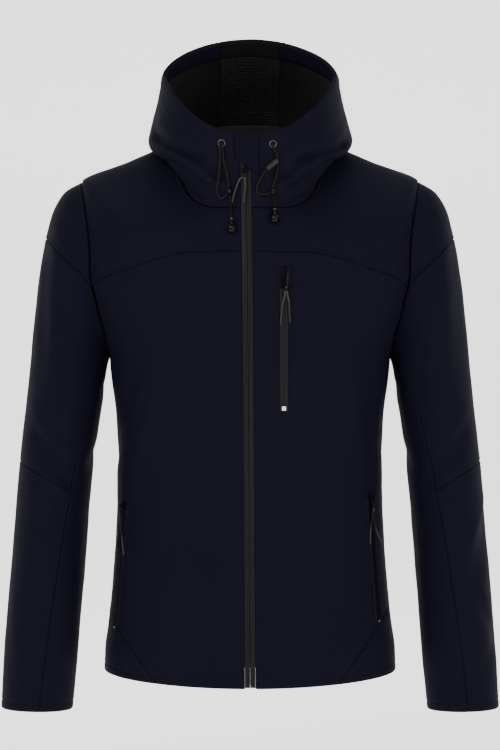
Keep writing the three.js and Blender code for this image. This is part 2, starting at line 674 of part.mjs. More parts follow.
function backPanels(left, right) {
  const leftArmhole = left.backArmhole;
  const rightArmhole = roundTheBack(right.backArmhole, -1);
  const leftSide = join(left.backSeam, leftArmhole.slice(YOKE_AT, GUSSET_AT + 1).reverse());
  const rightArm = rightArmhole.slice(YOKE_AT, GUSSET_AT + 1).reverse();
  const rightSide = join(roundTheBack(right.backSeam, -1), rightArm);
  const seam = backYokeSeam(BACK_COLUMNS, leftArmhole[YOKE_AT]);
  const hem = stepsBetween(leftSide[0], rightSide[0], BACK_COLUMNS);
  addPanel('back_body', torso, fillBetween(hem, seam, leftSide, rightSide), colours.cloth);

  // Back yoke: its outer edge runs down one armhole, along the seam and up the other
  const outer = join(leftArmhole.slice(0, YOKE_AT + 1), seam, rightArmhole.slice(0, YOKE_AT + 1).reverse());
  const neck = join(neckBack, toOtherSide(neckBack).reverse());
  const shoulder = stepsBetween([90, ARMHOLE.top], [90, 0], FRONT_COLUMNS);
  addPanel('back_yoke', torso, fillBetween(outer, neck, shoulder, toOtherSide(shoulder)), colours.cloth);
}

// How far along the sleeve the cap's lower seam and the elbow seam run, at an angle
function capAlong(angle) {
  const share = Math.cos(Math.min(Math.abs(angle) / armholeTurns.yoke, 1) * 90 * DEGREE);
  return share < 1e-6 ? 0 : CAP_SEAM * share ** 0.85;
}

function sleeveSeamPlace(along, side, front) {
  const shift = -side * SLEEVE_TURN * column(sleeveSeam, 'along', 'turn', along);
  const angle = column(sleeveSeam, 'along', front ? 'front' : 'back', along);
  return [(front ? angle : -angle) + shift, along];
}

function sleevePanels(side, handed) {
  const form = sleeveForms[side];
  const angles = armholeAngles.slice(0, SLEEVE_SEAM_AT + 1);
  const across = [...angles.slice(1).reverse().map((angle) => -angle), ...angles];
  const capAngles = across.filter((angle) => Math.abs(angle) <= armholeTurns.yoke + 0.01);
  const cap = [0, 1, 2, 3].map((row) => capAngles.map((angle) => [angle, capAlong(angle) * row / 3]));
  addPanel(`sleeve_cap_${handed}`, form, cap, colours.cloth, side);

  const seam = (front, from, to, count) => Array.from({ length: count + 1 }, (_, i) => (
    sleeveSeamPlace(from + (to - from) * i / count, side, front)));
  const backUpper = seam(false, 0, elbowSeam.back, SLEEVE_UPPER_ROWS);
  const frontUpper = seam(true, 0, elbowSeam.front, SLEEVE_UPPER_ROWS);
  const backLower = seam(false, elbowSeam.back, CUFF_LENGTH, SLEEVE_LOWER_ROWS);
  const frontLower = seam(true, elbowSeam.front, CUFF_LENGTH, SLEEVE_LOWER_ROWS);
  const count = across.length - 1;
  const [elbowStart, elbowEnd] = [backLower[0], frontLower[0]];
  const elbow = Array.from({ length: count + 1 }, (_, i) => {
    const angle = elbowStart[0] + (elbowEnd[0] - elbowStart[0]) * i / count;
    const end = angle > 0 ? elbowEnd : elbowStart;
    return [angle, elbowSeam.outer + (end[1] - elbowSeam.outer) * (angle / end[0]) ** 2];
  });
  const top = across.map((angle) => [angle, capAlong(angle)]);
  const upper = fillBetween(top, elbow, backUpper, frontUpper);
  addPanel(`sleeve_upper_${handed}`, form, upper, colours.cloth, side);
  const cuff = stepsBetween(backLower[SLEEVE_LOWER_ROWS], frontLower[SLEEVE_LOWER_ROWS], count);
  const forearm = fillBetween(elbow, cuff, backLower, frontLower);
  addPanel(`sleeve_forearm_${handed}`, form, forearm, colours.cloth, side);

  const low = armholeAngles.slice(SLEEVE_SEAM_AT);
  const underAngles = [...low, ...low.slice(0, -1).reverse().map((angle) => 360 - angle)];
  const underTop = underAngles.map((angle) => [angle, 0]);
  const full = (places) => places.map(([angle, along]) => [angle + 360, along]);
  const underFront = join(frontUpper, frontLower);
  const underBack = full(join(backUpper, backLower));
  const [frontEnd, backEnd] = [underFront[underFront.length - 1], underBack[underBack.length - 1]];
  const underCuff = stepsBetween(frontEnd, backEnd, underTop.length - 1);
  const under = fillBetween(underTop, underCuff, underFront, underBack);
  addPanel(`sleeve_under_${handed}`, form, under, colours.cloth, side);
}

// The hood's seam beside its centre strip, from the neck up to the rim
const stripSeam = hoodRows.map((ring) => [stripTurn(ring), ring]);
const RIM_ROW = hoodRows.length - 1;

function hoodSidePanel(side, handed, neckFront) {
  const backPart = neckBack.slice(0, NECK_SIDE_STEPS + 1).map(([turn, at]) => [turn * side, at]);
  const neck = join(neckFront, backPart);
  const front = stripSeam.map(([, ring]) => [hoodFrontTurn(ring, side), ring]);
  front[0] = neck[0];
  const back = stripSeam.map(([turn, ring]) => [turn * side, ring]);
  const [rimStart, rimEnd] = [front[RIM_ROW], back[RIM_ROW]];
  const rim = join(
    stepsBetween(rimStart, [90 * side, RIM], NECK_FRONT_STEPS),
    stepsBetween([90 * side, RIM], rimEnd, NECK_SIDE_STEPS),
  );
  addPanel(`hood_side_${handed}`, hood, fillBetween(neck, rim, front, back), colours.cloth);
}

function hoodCentrePanel() {
  const behind = neckBack.slice(NECK_SIDE_STEPS);
  const neck = join(behind, toOtherSide(behind).reverse());
  const left = stripSeam;
  const right = toOtherSide(stripSeam);
  const rim = stepsBetween(left[RIM_ROW], right[RIM_ROW], neck.length - 1);
  addPanel('hood_centre', hood, fillBetween(neck, rim, left, right), colours.cloth);
}

// Turns the waiting panels into walls. At a shared seam point both walls use one direction.
function buildPanels() {
  for (const { name, points, normals, colour } of panels) {
    const outer = drawEdgesIn(points, SEAM_GAP / 2);
    const inner = outer.map((row, j) => row.map((point, i) => {
      const seam = seamDirection(keyOf(points[j][i]));
      if (seam) point.addScaledVector(normals[j][i], -SEAM_GAP * seam.fold);
      return point.clone().addScaledVector(seam ? seam.direction : normals[j][i], -CLOTH);
    }));
    addMesh(name, closedWall(outer, inner), colour);
  }
}

// Hardware

const wasm = await Module();
wasm.setup();

// A closed geometry as a solid that can be joined and cut
function toSolid(geometry) {
  const bare = geometry.clone();
  for (const attribute of ['normal', 'uv', 'uv1', 'uv2']) bare.deleteAttribute(attribute);
  const merged = mergeVertices(bare, 1e-3);
  return new wasm.Manifold(new wasm.Mesh({
    numProp: 3,
    vertProperties: new Float32Array(merged.getAttribute('position').array),
    triVerts: new Uint32Array(merged.getIndex().array),
  }));
}

function fromSolid(solid) {
  const mesh = solid.getMesh();
  const geometry = new THREE.BufferGeometry();
  geometry.setAttribute('position', new THREE.Float32BufferAttribute(mesh.vertProperties, 3));
  geometry.setIndex([...mesh.triVerts]);
  return geometry;
}

// A flat outline given a thickness, its back face at a height
function plate(outline, thickness, height) {
  const geometry = new THREE.ExtrudeGeometry(outline, {
    depth: thickness, bevelEnabled: false, curveSegments: 5,
  });
  return geometry.translate(0, 0, height);
}

// A rectangle with round corners, centred at x and y
function roundedOutline(x, y, width, height, radius) {
  const points = [];
  for (const [right, up, start] of [[1, 1, 0], [-1, 1, 90], [-1, -1, 180], [1, -1, 270]]) {
    for (const turn of [0, 45, 90]) {
      points.push(new THREE.Vector2(
        x + right * (width / 2 - radius) + radius * Math.cos((start + turn) * DEGREE),
        y + up * (height / 2 - radius) + radius * Math.sin((start + turn) * DEGREE),
      ));
    }
  }
  return new THREE.Shape(points);
}

function turned(profile, segments = 12) {
  const points = profile.map(([radius, height]) => new THREE.Vector2(radius, height));
  return new THREE.LatheGeometry(points, segments);
}

// Where a piece of hardware sits on the front: a place, with x across, y up the cloth and z outwards
function seat(x, z, lift = 0) {
  const place = frontPlace(x, z);
  const outwards = normalOf(place.form, place.a, place.b, 0.5, place.form === hood ? 0.05 : 1);
  const across = new THREE.Vector3(0, 0, 1).cross(outwards).normalize();
  const up = outwards.clone().cross(across);
  const basis = new THREE.Matrix4().makeBasis(across, up, outwards);
  const point = place.form(place.a, place.b).addScaledVector(outwards, lift);
  return { point, across, up, outwards, quaternion: new THREE.Quaternion().setFromRotationMatrix(basis) };
}

function putAt(mesh, where) {
  mesh.position.copy(where.point);
  mesh.quaternion.copy(where.quaternion);
  return mesh;
}

// A round cord through points, with flat ends
const CORD_STEP = 2.8;            // length of one step along a cord, in diameters
function cordGeometry(points, diameter) {
  const route = new THREE.CatmullRomCurve3(points, false, 'centripetal');
  const section = new THREE.Shape();
  section.absarc(0, 0, diameter / 2, 0, 2 * Math.PI);
  const steps = Math.max(4, Math.round(route.getLength() / (CORD_STEP * diameter)));
  return new THREE.ExtrudeGeometry(section, {
    steps, extrudePath: route, bevelEnabled: false, curveSegments: 4,
  });
}

// Each row of a route is x, z and how far the cord's middle stands off the cloth
const routePoints = (rows) => rows.map(([x, z, lift]) => frontPoint(x, z, lift));

// Zip sliders. The crown is a small bridge with a window; the pull tab's eye goes round its lower leg.
// sink is how far the crown goes into the slider, sill the height of its window, slope its ends' slant.
const CROWN = {
  width: 1.6, length: 6.4, height: 3, sink: 0.4, sill: 0.3, slope: 0.5, windowLength: 3.4, windowHeight: 1.6,
};
const SLIDER_HEIGHT = 2.6;
const TAB = { thickness: 1, eyeHalfWidth: 1.15, eyeLength: 2.9, cornerShare: 0.3 };
const PIVOT_HEIGHT = SLIDER_HEIGHT + CROWN.sill + CROWN.windowHeight / 2;
const PIVOT_PLAY = 0.2;           // between the tab and the crown's leg
const sliderSizes = {             // knot is the radius of the knot below the tab
  main: { width: 8.4, length: 9.6, tabWidth: 4.4, tabLength: 6.8, knot: 1.5 },
  chest: { width: 8, length: 11, tabWidth: 4.2, tabLength: 20, knot: 2 },
  hand: { width: 7, length: 9, tabWidth: 3.8, tabLength: 13.4, knot: 1.9 },
};

function sliderGeometry(width, length) {
  const body = toSolid(plate(roundedOutline(0, 0, width, length, width * TAB.cornerShare), SLIDER_HEIGHT, 0));
  const arch = new THREE.Shape();
  const { length: crownLength, windowLength, windowHeight, sink, sill, slope } = CROWN;
  arch.moveTo(-crownLength / 2, -sink);
  arch.lineTo(crownLength / 2, -sink);
  arch.lineTo(crownLength / 2 - slope, CROWN.height);
  arch.lineTo(-crownLength / 2 + slope, CROWN.height);
  const hole = new THREE.Path();
  hole.moveTo(-windowLength / 2, sill);
  hole.lineTo(-windowLength / 2, sill + windowHeight);
  hole.lineTo(windowLength / 2, sill + windowHeight);
  hole.lineTo(windowLength / 2, sill);
  arch.holes.push(hole);
  const crown = new THREE.ExtrudeGeometry(arch, { depth: CROWN.width, bevelEnabled: false });
  crown.translate(0, 0, -CROWN.width / 2);
  crown.applyMatrix4(new THREE.Matrix4().makeBasis(
    new THREE.Vector3(0, 1, 0), new THREE.Vector3(0, 0, 1), new THREE.Vector3(1, 0, 0),
  ));
  crown.translate(0, 0, SLIDER_HEIGHT);
  return fromSolid(body.add(toSolid(crown)));
}

// The tab hangs from the crown's lower leg at the pivot, which is this geometry's own origin
function tabGeometry(width, length, knotRadius) {
  const top = TAB.thickness / 2;
  const outline = roundedOutline(0, top - length / 2, width, length, width * TAB.cornerShare);
  const eye = new THREE.Path();
  eye.moveTo(-TAB.eyeHalfWidth, -top);
  eye.lineTo(-TAB.eyeHalfWidth, -top - TAB.eyeLength);
  eye.lineTo(TAB.eyeHalfWidth, -top - TAB.eyeLength);
  eye.lineTo(TAB.eyeHalfWidth, -top);
  outline.holes.push(eye);
  const tab = toSolid(plate(outline, TAB.thickness, -top));
  const low = top - length;
  const bead = turned([[0, -knotRadius * 1.5], [knotRadius * 0.8, -knotRadius], [knotRadius, 0],
    [knotRadius * 0.8, knotRadius], [0, knotRadius * 1.5]], 8);
  bead.translate(0, low, 0);
  return { geometry: fromSolid(tab.add(toSolid(bead))), end: low - knotRadius * 1.5 };
}

// A slider with its pull tab, and the place where the pull's strands begin
function addSlider(name, x, z, lift, size) {
  const base = seat(x, z, lift);
  putAt(addMesh(`${name}_slider`, sliderGeometry(size.width, size.length), colours.black, 0.35, 0.3), base);
  const pivot = { ...base, point: base.point.clone() };
  pivot.point.addScaledVector(base.outwards, PIVOT_HEIGHT);
  pivot.point.addScaledVector(base.up, -(CROWN.windowLength / 2 - TAB.thickness / 2 - PIVOT_PLAY));
  const tab = tabGeometry(size.tabWidth, size.tabLength, size.knot);
  putAt(addMesh(`${name}_pull_tab`, tab.geometry, colours.black, 0.4, 0.2), pivot);
  return (offset) => pivot.point.clone().addScaledVector(base.up, tab.end - LAYER_GAP - 0.05)
    .addScaledVector(base.across, offset);
}

// The two strands of a pull: each starts under the tab's knot and then hangs along the front
const STRAND_OFFSET = 1.125;
const pullCords = {
  main: [
    [[-12, -57, 4.4], [-15, -63, 3.6], [-18, -71, 3], [-20.6, -80, 2.4], [-22, -86, 1.8]],
    [[-6.2, -57, 5], [-5.8, -64, 4.2], [-6.2, -72, 3.4], [-7.4, -81, 2.6], [-8, -87, 2.2]],
  ],
  chest: [
    [[42.8, -206, 4.8], [41, -212, 4], [39.6, -221, 3.3], [38.6, -231, 2.9], [37.9, -240, 2.7]],
    [[46.8, -206, 4.6], [48.2, -211, 3.6], [48.6, -219, 2.8], [49, -228, 2.2], [49.4, -237, 1.7]],
  ],
  hand_left: [
    [[152.2, -488, 4.4], [151.6, -494, 3.4], [151.4, -501, 2.6], [151.6, -509, 2], [152, -518, 1.6]],
    [[154.8, -488, 4.4], [156.4, -494, 3.4], [158.6, -501, 2.8], [161.8, -509, 2.6], [165.8, -518, 2.6]],
  ],
  hand_right: [
    [[-163.8, -499, 4.4], [-165.4, -505, 3.6], [-167, -511, 3], [-168.4, -517, 2.6], [-169.4, -525.5, 2.4]],
    [[-161.4, -500, 4.4], [-161.2, -507, 3.2], [-161.2, -515, 2.4], [-160.6, -523, 1.9], [-159.8, -532, 1.6]],
  ],
};

function addPull(name, x, z, lift, size) {
  const below = addSlider(name, x, z, lift, size);
  pullCords[name].forEach((route, i) => {
    const points = [below((2 * i - 1) * STRAND_OFFSET), ...routePoints(route)];
    addMesh(`${name}_pull_cord_${i + 1}`, cordGeometry(points, PULL_CORD_DIAMETER), colours.cord, 0.8);
  });
}

// A zip's tape as a strip on the front between two heights, its middle on a line in x and z
function addTape(name, line, width, thickness, rows) {
  const grid = [];
  for (let j = 0; j <= rows; j += 1) {
    const t = j / rows;
    const x = line.x1 + (line.x2 - line.x1) * t;
    const z = line.z1 + (line.z2 - line.z1) * t;
    grid.push([-1, 0, 1].map((k) => {
      const place = frontPlace(x + k * width / 2, z);
      return [place.a, place.b];
    }));
  }
  addLayer(name, torso, grid, LAYER_GAP, thickness, colours.laminate, 0.6);
}

// One half of the front zip: a narrow band between its own front and the centre gap.
// It starts above the hem and runs on up the chin, where its rows have heights of their own.
const ZIP_SINK = 0.2;             // from the cloth's face down to the zip's
const ZIP_START = 2;
const ZIP_STEPS = 13;
const chinHeights = [-68.5, -46.5, -23.25, -2];
function addZipHalf(side, handed) {
  const low = HEM_FRONT + ZIP_START;
  const high = NECK_FRONT - 1;
  const rows = Array.from({ length: ZIP_STEPS + 1 }, (_, j) => low + (high - low) * j / ZIP_STEPS);
  rows.push(...chinHeights);
  const edges = [ZIP_CENTRE_GAP / 2, ZIP_HALF_WIDTH - SEAM_GAP / 2];
  const ordered = side > 0 ? edges : [...edges].reverse();
  const face = (depth) => rows.map((z) => ordered.map((off) => {
    const x = column(zipLine, 'z', 'x', z);
    return frontPoint(x + side * off, z, -depth);
  }));
  addMesh(`zip_half_${handed}`, closedWall(face(ZIP_SINK), face(ZIP_SINK + ZIP_THICKNESS)), colours.laminate, 0.6);
}

// Panels and facings

const sides = [[1, 'left'], [-1, 'right']];
const fronts = {};
for (const [side, handed] of sides) {
  fronts[handed] = frontPanels(side, handed);
  sleevePanels(side, handed);
  hoodSidePanel(side, handed, fronts[handed].neckFront);
}
backPanels(fronts.left, fronts.right);
hoodCentrePanel();
buildPanels();

// Facings inside the hood's rim. depth and belowRim are in rings; tip and joint are turns of their ends.
const FACING = { gap: 1.5, thickness: 1.2, depth: 0.85, belowRim: 0.04, tip: 62, joint: 160 };
function addFacing(name, from, to, columns, colour) {
  const grid = [0, 0.5, 1].map((row) => Array.from({ length: columns + 1 }, (_, i) => {
    const turn = from + (to - from) * i / columns;
    return [turn, RIM - FACING.belowRim - FACING.depth * (1 - row)];
  }));
  addLayer(name, hood, grid, -CLOTH - FACING.gap - FACING.thickness, FACING.thickness, colour, 0.9);
}
addFacing('hood_facing_left', FACING.tip, FACING.joint, 8, colours.cloth);
addFacing('hood_facing_centre', FACING.joint, 360 - FACING.joint, 4, colours.fleece);
addFacing('hood_facing_right', 360 - FACING.joint, 360 - FACING.tip, 8, colours.cloth);

// Front zip with its garage at the chin

for (const [side, handed] of sides) addZipHalf(side, handed);

const chinGuard = { left: 11, right: -19.5, top: -1.2, lowLeft: -48, lowRight: -29, thickness: 1.8 };
function addChinGuard() {
  const columns = 6;
  const rows = 4;
  const indices = (count) => Array.from({ length: count + 1 }, (_, k) => k);
  const grid = indices(rows).map((j) => indices(columns).map((i) => {
    const x = chinGuard.right + (chinGuard.left - chinGuard.right) * i / columns;
    const low = chinGuard.lowRight + (chinGuard.lowLeft - chinGuard.lowRight) * i / columns;
    return onHoodFront(x, low + (chinGuard.top - low) * j / rows);
  }));
  addLayer('chin_guard', hood, grid, LAYER_GAP, chinGuard.thickness, colours.cloth, 0.85);
}
addChinGuard();
addPull('main', -6.4, -45.4, 0.2, sliderSizes.main);

// Chest pocket: a taped zip, a peaked garage over its top, a slider, and a small square stop

const chestGarage = { below: 13, halfWidth: 5.6, low: -13.4, shoulder: 8.5, peak: 14, thickness: 1 };
const chestStop = { below: 4, width: 5, height: 6, thickness: 0.8, corner: 0.6 };
const SLIDER_SHIFT = 2.4;         // the chest slider and its garage sit beside the tape's middle
const TAPE_START = 27;            // from the top of the pocket down to where the tape starts to show

const chestLine = { x1: CHEST_ZIP.x, z1: CHEST_ZIP.bottom, x2: CHEST_ZIP.x, z2: CHEST_ZIP.top - TAPE_START };
addTape('chest_zip', chestLine, CHEST_ZIP.width, CHEST_ZIP.thickness, 6);

function addChestGarage() {
  const { below, halfWidth, low, shoulder, peak, thickness } = chestGarage;
  const outline = new THREE.Shape();
  outline.moveTo(-halfWidth, low);
  outline.lineTo(halfWidth, low);
  outline.lineTo(halfWidth, shoulder);
  outline.lineTo(0, peak);
  outline.lineTo(-halfWidth, shoulder);
  const at = seat(CHEST_ZIP.x + SLIDER_SHIFT, CHEST_ZIP.top - below, 2 * LAYER_GAP);
  putAt(addMesh('chest_garage', plate(outline, thickness, 0), colours.black, 0.5), at);
}
addChestGarage();
addPull('chest', CHEST_ZIP.x + SLIDER_SHIFT, CHEST_ZIP.top - 8, LAYER_GAP + 1.7, sliderSizes.chest);
const stopOutline = roundedOutline(0, 0, chestStop.width, chestStop.height, chestStop.corner);
putAt(addMesh('chest_stop', plate(stopOutline, chestStop.thickness, 0), colours.white, 0.4),
  seat(CHEST_ZIP.x, CHEST_ZIP.bottom - chestStop.below, 1.5 * LAYER_GAP));

// Hand pockets

const handZips = {
  left: { x1: 163.8, z1: -612, x2: 152.2, z2: -462 },
  right: { x1: -172.4, z1: -621, x2: -160.2, z2: -472 },
};
for (const [handed, line] of Object.entries(handZips)) {
  const side = Math.sign(line.x1);
  addTape(`hand_${handed}_zip`, line, HAND_ZIP.width, HAND_ZIP.thickness, 7);
  const lift = LAYER_GAP + HAND_ZIP.thickness + 0.4;
  addPull(`hand_${handed}`, line.x2 - side * 0.2, line.z2 + 2, lift, sliderSizes.hand);
}

// Hood drawcords: eyelet, cord, lock, tail and toggle on each side

const eyelets = { right: { x: -35.7, z: -12 }, left: { x: 28.8, z: -13 } };
for (const [handed, { x, z }] of Object.entries(eyelets)) {
  const { hole, outer, height } = EYELET;
  const ring = turned([[hole, 0], [outer, 0], [outer - 0.6, height], [hole + 0.5, height], [hole, 0]], 16)
    .rotateX(Math.PI / 2);
  putAt(addMesh(`eyelet_${handed}`, ring, colours.metal, 0.3, 0.9), seat(x, z, LAYER_GAP));
}

// A turned piece on a cord: its axis runs from one place to another, and it starts a gap beyond the first
function alongCord(name, from, to, gap, profile, colour, roughness, metalness) {
  const axis = to.clone().sub(from).normalize();
  const mesh = addMesh(name, turned(profile, 10), colour, roughness, metalness);
  mesh.position.copy(from).addScaledVector(axis, gap);
  mesh.quaternion.setFromUnitVectors(new THREE.Vector3(0, 1, 0), axis);
  return mesh;
}

const drawcords = {
  drawcord_right: [[-34.3, -11.2, 1.6], [-34.2, -13.4, 2.8], [-34, -18, 3.4], [-33.4, -26, 3], [-32.4, -34, 2.8],
    [-30.6, -42, 2.6], [-28.4, -50, 2.5], [-27.2, -57, 2.5], [-26.6, -63, 2.8], [-26.4, -68.4, 3.6]],
  drawcord_right_back: [[-28.8, -76.4, 3.6], [-31.6, -79.6, 2.8], [-35.6, -80.4, 2.3], [-39, -77, 2.2],
    [-40.2, -70, 2.2], [-39.8, -61, 2.3], [-38.6, -51, 2.5], [-37.8, -42, 2.7], [-37.3, -32, 2.9],
    [-37.1, -23, 3.2], [-37, -17.6, 3.4], [-37, -13.6, 2.8], [-36.9, -11.4, 1.6]],
  cord_tail_right: [[-24.8, -78.2, 3.7], [-24.2, -84, 3.4], [-23.6, -92, 3.4], [-23.2, -100, 3.6], [-22.6, -106.4, 4.6]],
  drawcord_left: [[27.6, -12.4, 1.6], [28.4, -15.6, 2.9], [30.6, -21, 3.4], [33.4, -26.4, 3], [34.6, -33, 2.7],
    [34.2, -42, 2.6], [33, -51, 2.5], [31, -59, 2.4], [28.6, -65, 2.6], [28, -68.4, 3.2]],
  drawcord_left_back: [[24.3, -75.2, 3.3], [18, -76.6, 2.6], [11.8, -76, 2.4], [8.4, -73, 2.4], [8.4, -67.6, 2.5],
    [11.4, -60, 3], [16, -51.6, 5], [19.6, -46.4, 7.6]],
  cord_tail_left: [[28.4, -79.6, 3.2], [29.6, -85, 3], [30, -90, 3.2], [30, -94.6, 4.4]],
};
for (const [name, rows] of Object.entries(drawcords)) {
  const colour = name.startsWith('cord_tail') ? colours.cord : colours.taupe;
  addMesh(name, cordGeometry(routePoints(rows), CORD_DIAMETER), colour, 0.8);
}

// The lock on the right cord is a round spring lock, the one on the left a barrel, with a ring below it.
// A profile's rows are a radius and a height.
const KNOT_GAP = 0.5;             // from a cord's end to the piece it goes into
const ballProfile = [[0, 0], [2.6, 0], [3.5, 1.6], [3.5, 5.4], [2.6, 7], [0, 7]];
const barrelProfile = [[0, 0], [2.9, 0], [3.3, 0.8], [3.3, 17], [2.9, 17.8], [0, 17.8]];
const ringProfile = [[0, 0], [2.8, 0], [3.4, 1.4], [3.4, 5.6], [2.8, 7], [0, 7]];
const barrelEnds = [[20.2, -45.6, 8.2], [38.4, -31, 9.2]];
function addLocks() {
  const rightEnd = routePoints(drawcords.drawcord_right.slice(-1))[0];
  const rightTail = routePoints(drawcords.cord_tail_right.slice(0, 1))[0];
  alongCord('cord_lock_right', rightEnd, rightTail, KNOT_GAP, ballProfile, colours.black, 0.4, 0.1);
  const [from, to] = routePoints(barrelEnds);
  alongCord('cord_lock_left', from, to, LAYER_GAP, barrelProfile, colours.taupe, 0.5, 0.05);
  const leftEnd = routePoints(drawcords.drawcord_left.slice(-1))[0];
  const leftTail = routePoints(drawcords.cord_tail_left.slice(0, 1))[0];
  alongCord('cord_ring_left', leftEnd, leftTail, KNOT_GAP, ringProfile, colours.black, 0.3, 0.1);
}
addLocks();

const TOGGLE_LIFT = 6;            // of the lower end of a toggle off the cloth
const toggleProfile = [[0, 0], [1.6, 0.3], [1.9, 3.4], [2.8, 6.4], [4.2, 10], [TOGGLE.radius, 13.4],
  [4.4, 16.8], [2.9, 19], [0, TOGGLE.length]];
for (const handed of ['right', 'left']) {
  const rows = drawcords[`cord_tail_${handed}`];
  const [x, z, lift] = rows[rows.length - 1];
  const [top, low] = routePoints([[x, z, lift], [x, z - TOGGLE.length, TOGGLE_LIFT]]);
  alongCord(`toggle_${handed}`, top, low, LAYER_GAP, toggleProfile, colours.black, 0.25, 0.1);
}

export default group;
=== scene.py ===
"""A men's softshell jacket with a hood, filled out as if worn, with nothing inside.

The cloth is made as thin shells over three smooth forms: the torso, the sleeves and the hood.
Lengths in the tables are millimetres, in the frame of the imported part, and meshes are made in metres.
"""

import math

import bmesh
import bpy
import numpy as np
from bpy.props import FloatProperty, FloatVectorProperty, IntProperty, PointerProperty
from mathutils import Matrix, Vector


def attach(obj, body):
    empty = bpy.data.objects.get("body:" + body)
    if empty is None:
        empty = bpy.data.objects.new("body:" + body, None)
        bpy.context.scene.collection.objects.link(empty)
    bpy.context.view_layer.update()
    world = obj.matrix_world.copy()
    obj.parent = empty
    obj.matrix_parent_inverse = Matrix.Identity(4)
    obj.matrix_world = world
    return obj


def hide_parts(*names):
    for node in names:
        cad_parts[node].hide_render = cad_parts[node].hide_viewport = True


bl_info = {
    "name": "Softshell jacket",
    "version": (1, 0, 0),
    "blender": (4, 5, 0),
    "location": "3D View > Sidebar > Jacket",
    "description": "Builds a hooded softshell jacket with its zips, cords and stitching",
    "category": "Object",
}

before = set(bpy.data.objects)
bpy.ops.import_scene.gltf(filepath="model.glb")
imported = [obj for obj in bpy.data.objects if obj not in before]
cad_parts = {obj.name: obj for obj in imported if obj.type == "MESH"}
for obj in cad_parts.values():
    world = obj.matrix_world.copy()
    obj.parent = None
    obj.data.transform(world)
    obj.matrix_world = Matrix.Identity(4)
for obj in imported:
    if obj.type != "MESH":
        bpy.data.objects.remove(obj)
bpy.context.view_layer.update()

MM = 0.001
CLOTH = 2.0
STRIP_WIDTH = 84.0
ZIP_HALF_WIDTH = 6.6
CUFF_LENGTH = 686.0
PULL_CORD_DIAMETER = 1.8
CORD_DIAMETER = 2.2
RIM = 7.0
HOOD_SQUARE = 2.2
FOLD_RISE = 1.9
FOLD_TUCK = 0.9
SLEEVE_TURN = 6.0
CAP_SEAM = 74.0
HEM_SIDE = -684.0
HEM_FRONT = -695.0
NECK_FRONT = -93.0
BACK_YOKE_CENTRE = -150.0


def table(names, *rows):
    """A table as a dictionary of columns."""
    return dict(zip(names.split(), np.array(rows, float).T))


TORSO_RINGS = table(
    "side half_width y_front y_back z_front z_back square bowl",
    (-684, 188.5, -130, 125, -695, -698, 2.3, 2),
    (-658, 188.2, -129, 124, -668, -670, 2.3, 2),
    (-626, 184, -127, 122, -636, -637, 2.3, 2),
    (-564, 177.5, -123, 116, -572, -572, 2.3, 2),
    (-502, 173, -120, 108, -509, -509, 2.3, 2),
    (-440, 171, -121, 105, -446, -446, 2.3, 2),
    (-361, 173.5, -128, 112, -366, -364, 2.3, 2),
    (-299, 180, -134, 121, -304, -301, 2.3, 2),
    (-278, 182, -135, 123, -285, -280, 2.3, 2),
    (-250, 191, -134.5, 124, -261, -252, 2.3, 2),
    (-212, 208, -133, 124, -230, -214, 2.3, 2),
    (-158, 223, -130, 120, -196, -160, 2.3, 2.2),
    (-100, 223, -126, 112, -163, -106, 2.3, 2.6),
    (-52, 218, -121, 98, -134, -50, 2.3, 3.2),
    (-26, 158, -117, 84, -113, -14, 2.25, 4.6),
    (0, 98, -114, 66, -93, 16, 2.2, 6),
)
HOOD_RINGS = table(
    "ring half_width y_front y_side y_back z_front z_side z_back bowl rise",
    (0, 98, -114, 0, 66, -93, 0, 16, 6, 2),
    (0.4, 100.5, -114, 0, 73, -87.5, 7, 27, 5.6, 2),
    (1, 110, -113.8, 0, 104, -79, 7, 14, 5, 2),
    (2, 122, -113.5, -1, 147, -66, -3, -16, 4.2, 2),
    (3, 130, -113.2, -3, 160, -50, 3, 14, 3.6, 1.8),
    (4, 127, -113, -6, 144, -34, 18, 60, 3.2, 1.5),
    (5, 121.5, -112.6, -11, 110, -20, 38, 98, 2.8, 1.3),
    (6, 117, -112.3, -16, 76, -9, 62, 122, 2.5, 1.3),
    (7, 113.5, -112, -20, 50, 0, 84, 141, 2.4, 1.25),
)
# Where the hood's side hangs over the chest: the ring of the fold's lower edge, and how far it stands out
HOOD_FOLD = table(
    "angle ring proud",
    (0, 2, 0), (14, 2.2, 0), (26, 2.9, 7), (42, 3.9, 10),
    (62, 3.2, 7), (90, 2.2, 3), (125, 2, 0), (180, 2, 0),
)
# Stations of a sleeve: its outer and inner line seen from the front, and its depth front and back
SLEEVE_STATIONS = table(
    "along outer_x outer_z inner_x inner_z y_front y_back",
    (20, 241, -66, 184.6, -288, -64, 68),
    (45, 258, -96, 186.8, -299, -66, 70),
    (110, 272, -162, 188.8, -314, -67, 71),
    (185, 281, -240, 191, -333, -67, 71),
    (245, 286.5, -299, 195.7, -362, -66, 70),
    (310, 293, -361, 200.3, -398, -64, 68),
    (370, 299.5, -422, 205.5, -442, -62, 63),
    (435, 305, -486, 211, -496, -61, 57),
    (530, 312.6, -580, 217.4, -585, -56, 47),
    (625, 320.4, -674, 224.4, -676, -50, 35),
    (686, 323, -734, 230.6, -736, -47, 27),
)
ARMHOLE = {"top": -52.0, "bottom": -278.0, "y_front": -62.0, "y_back": 66.0}
ARMHOLE_YOKE, ARMHOLE_SLEEVE_SEAM, ARMHOLE_GUSSET, ARMHOLE_UNDERARM = 103.5, 142.5, 165.0, 180.0
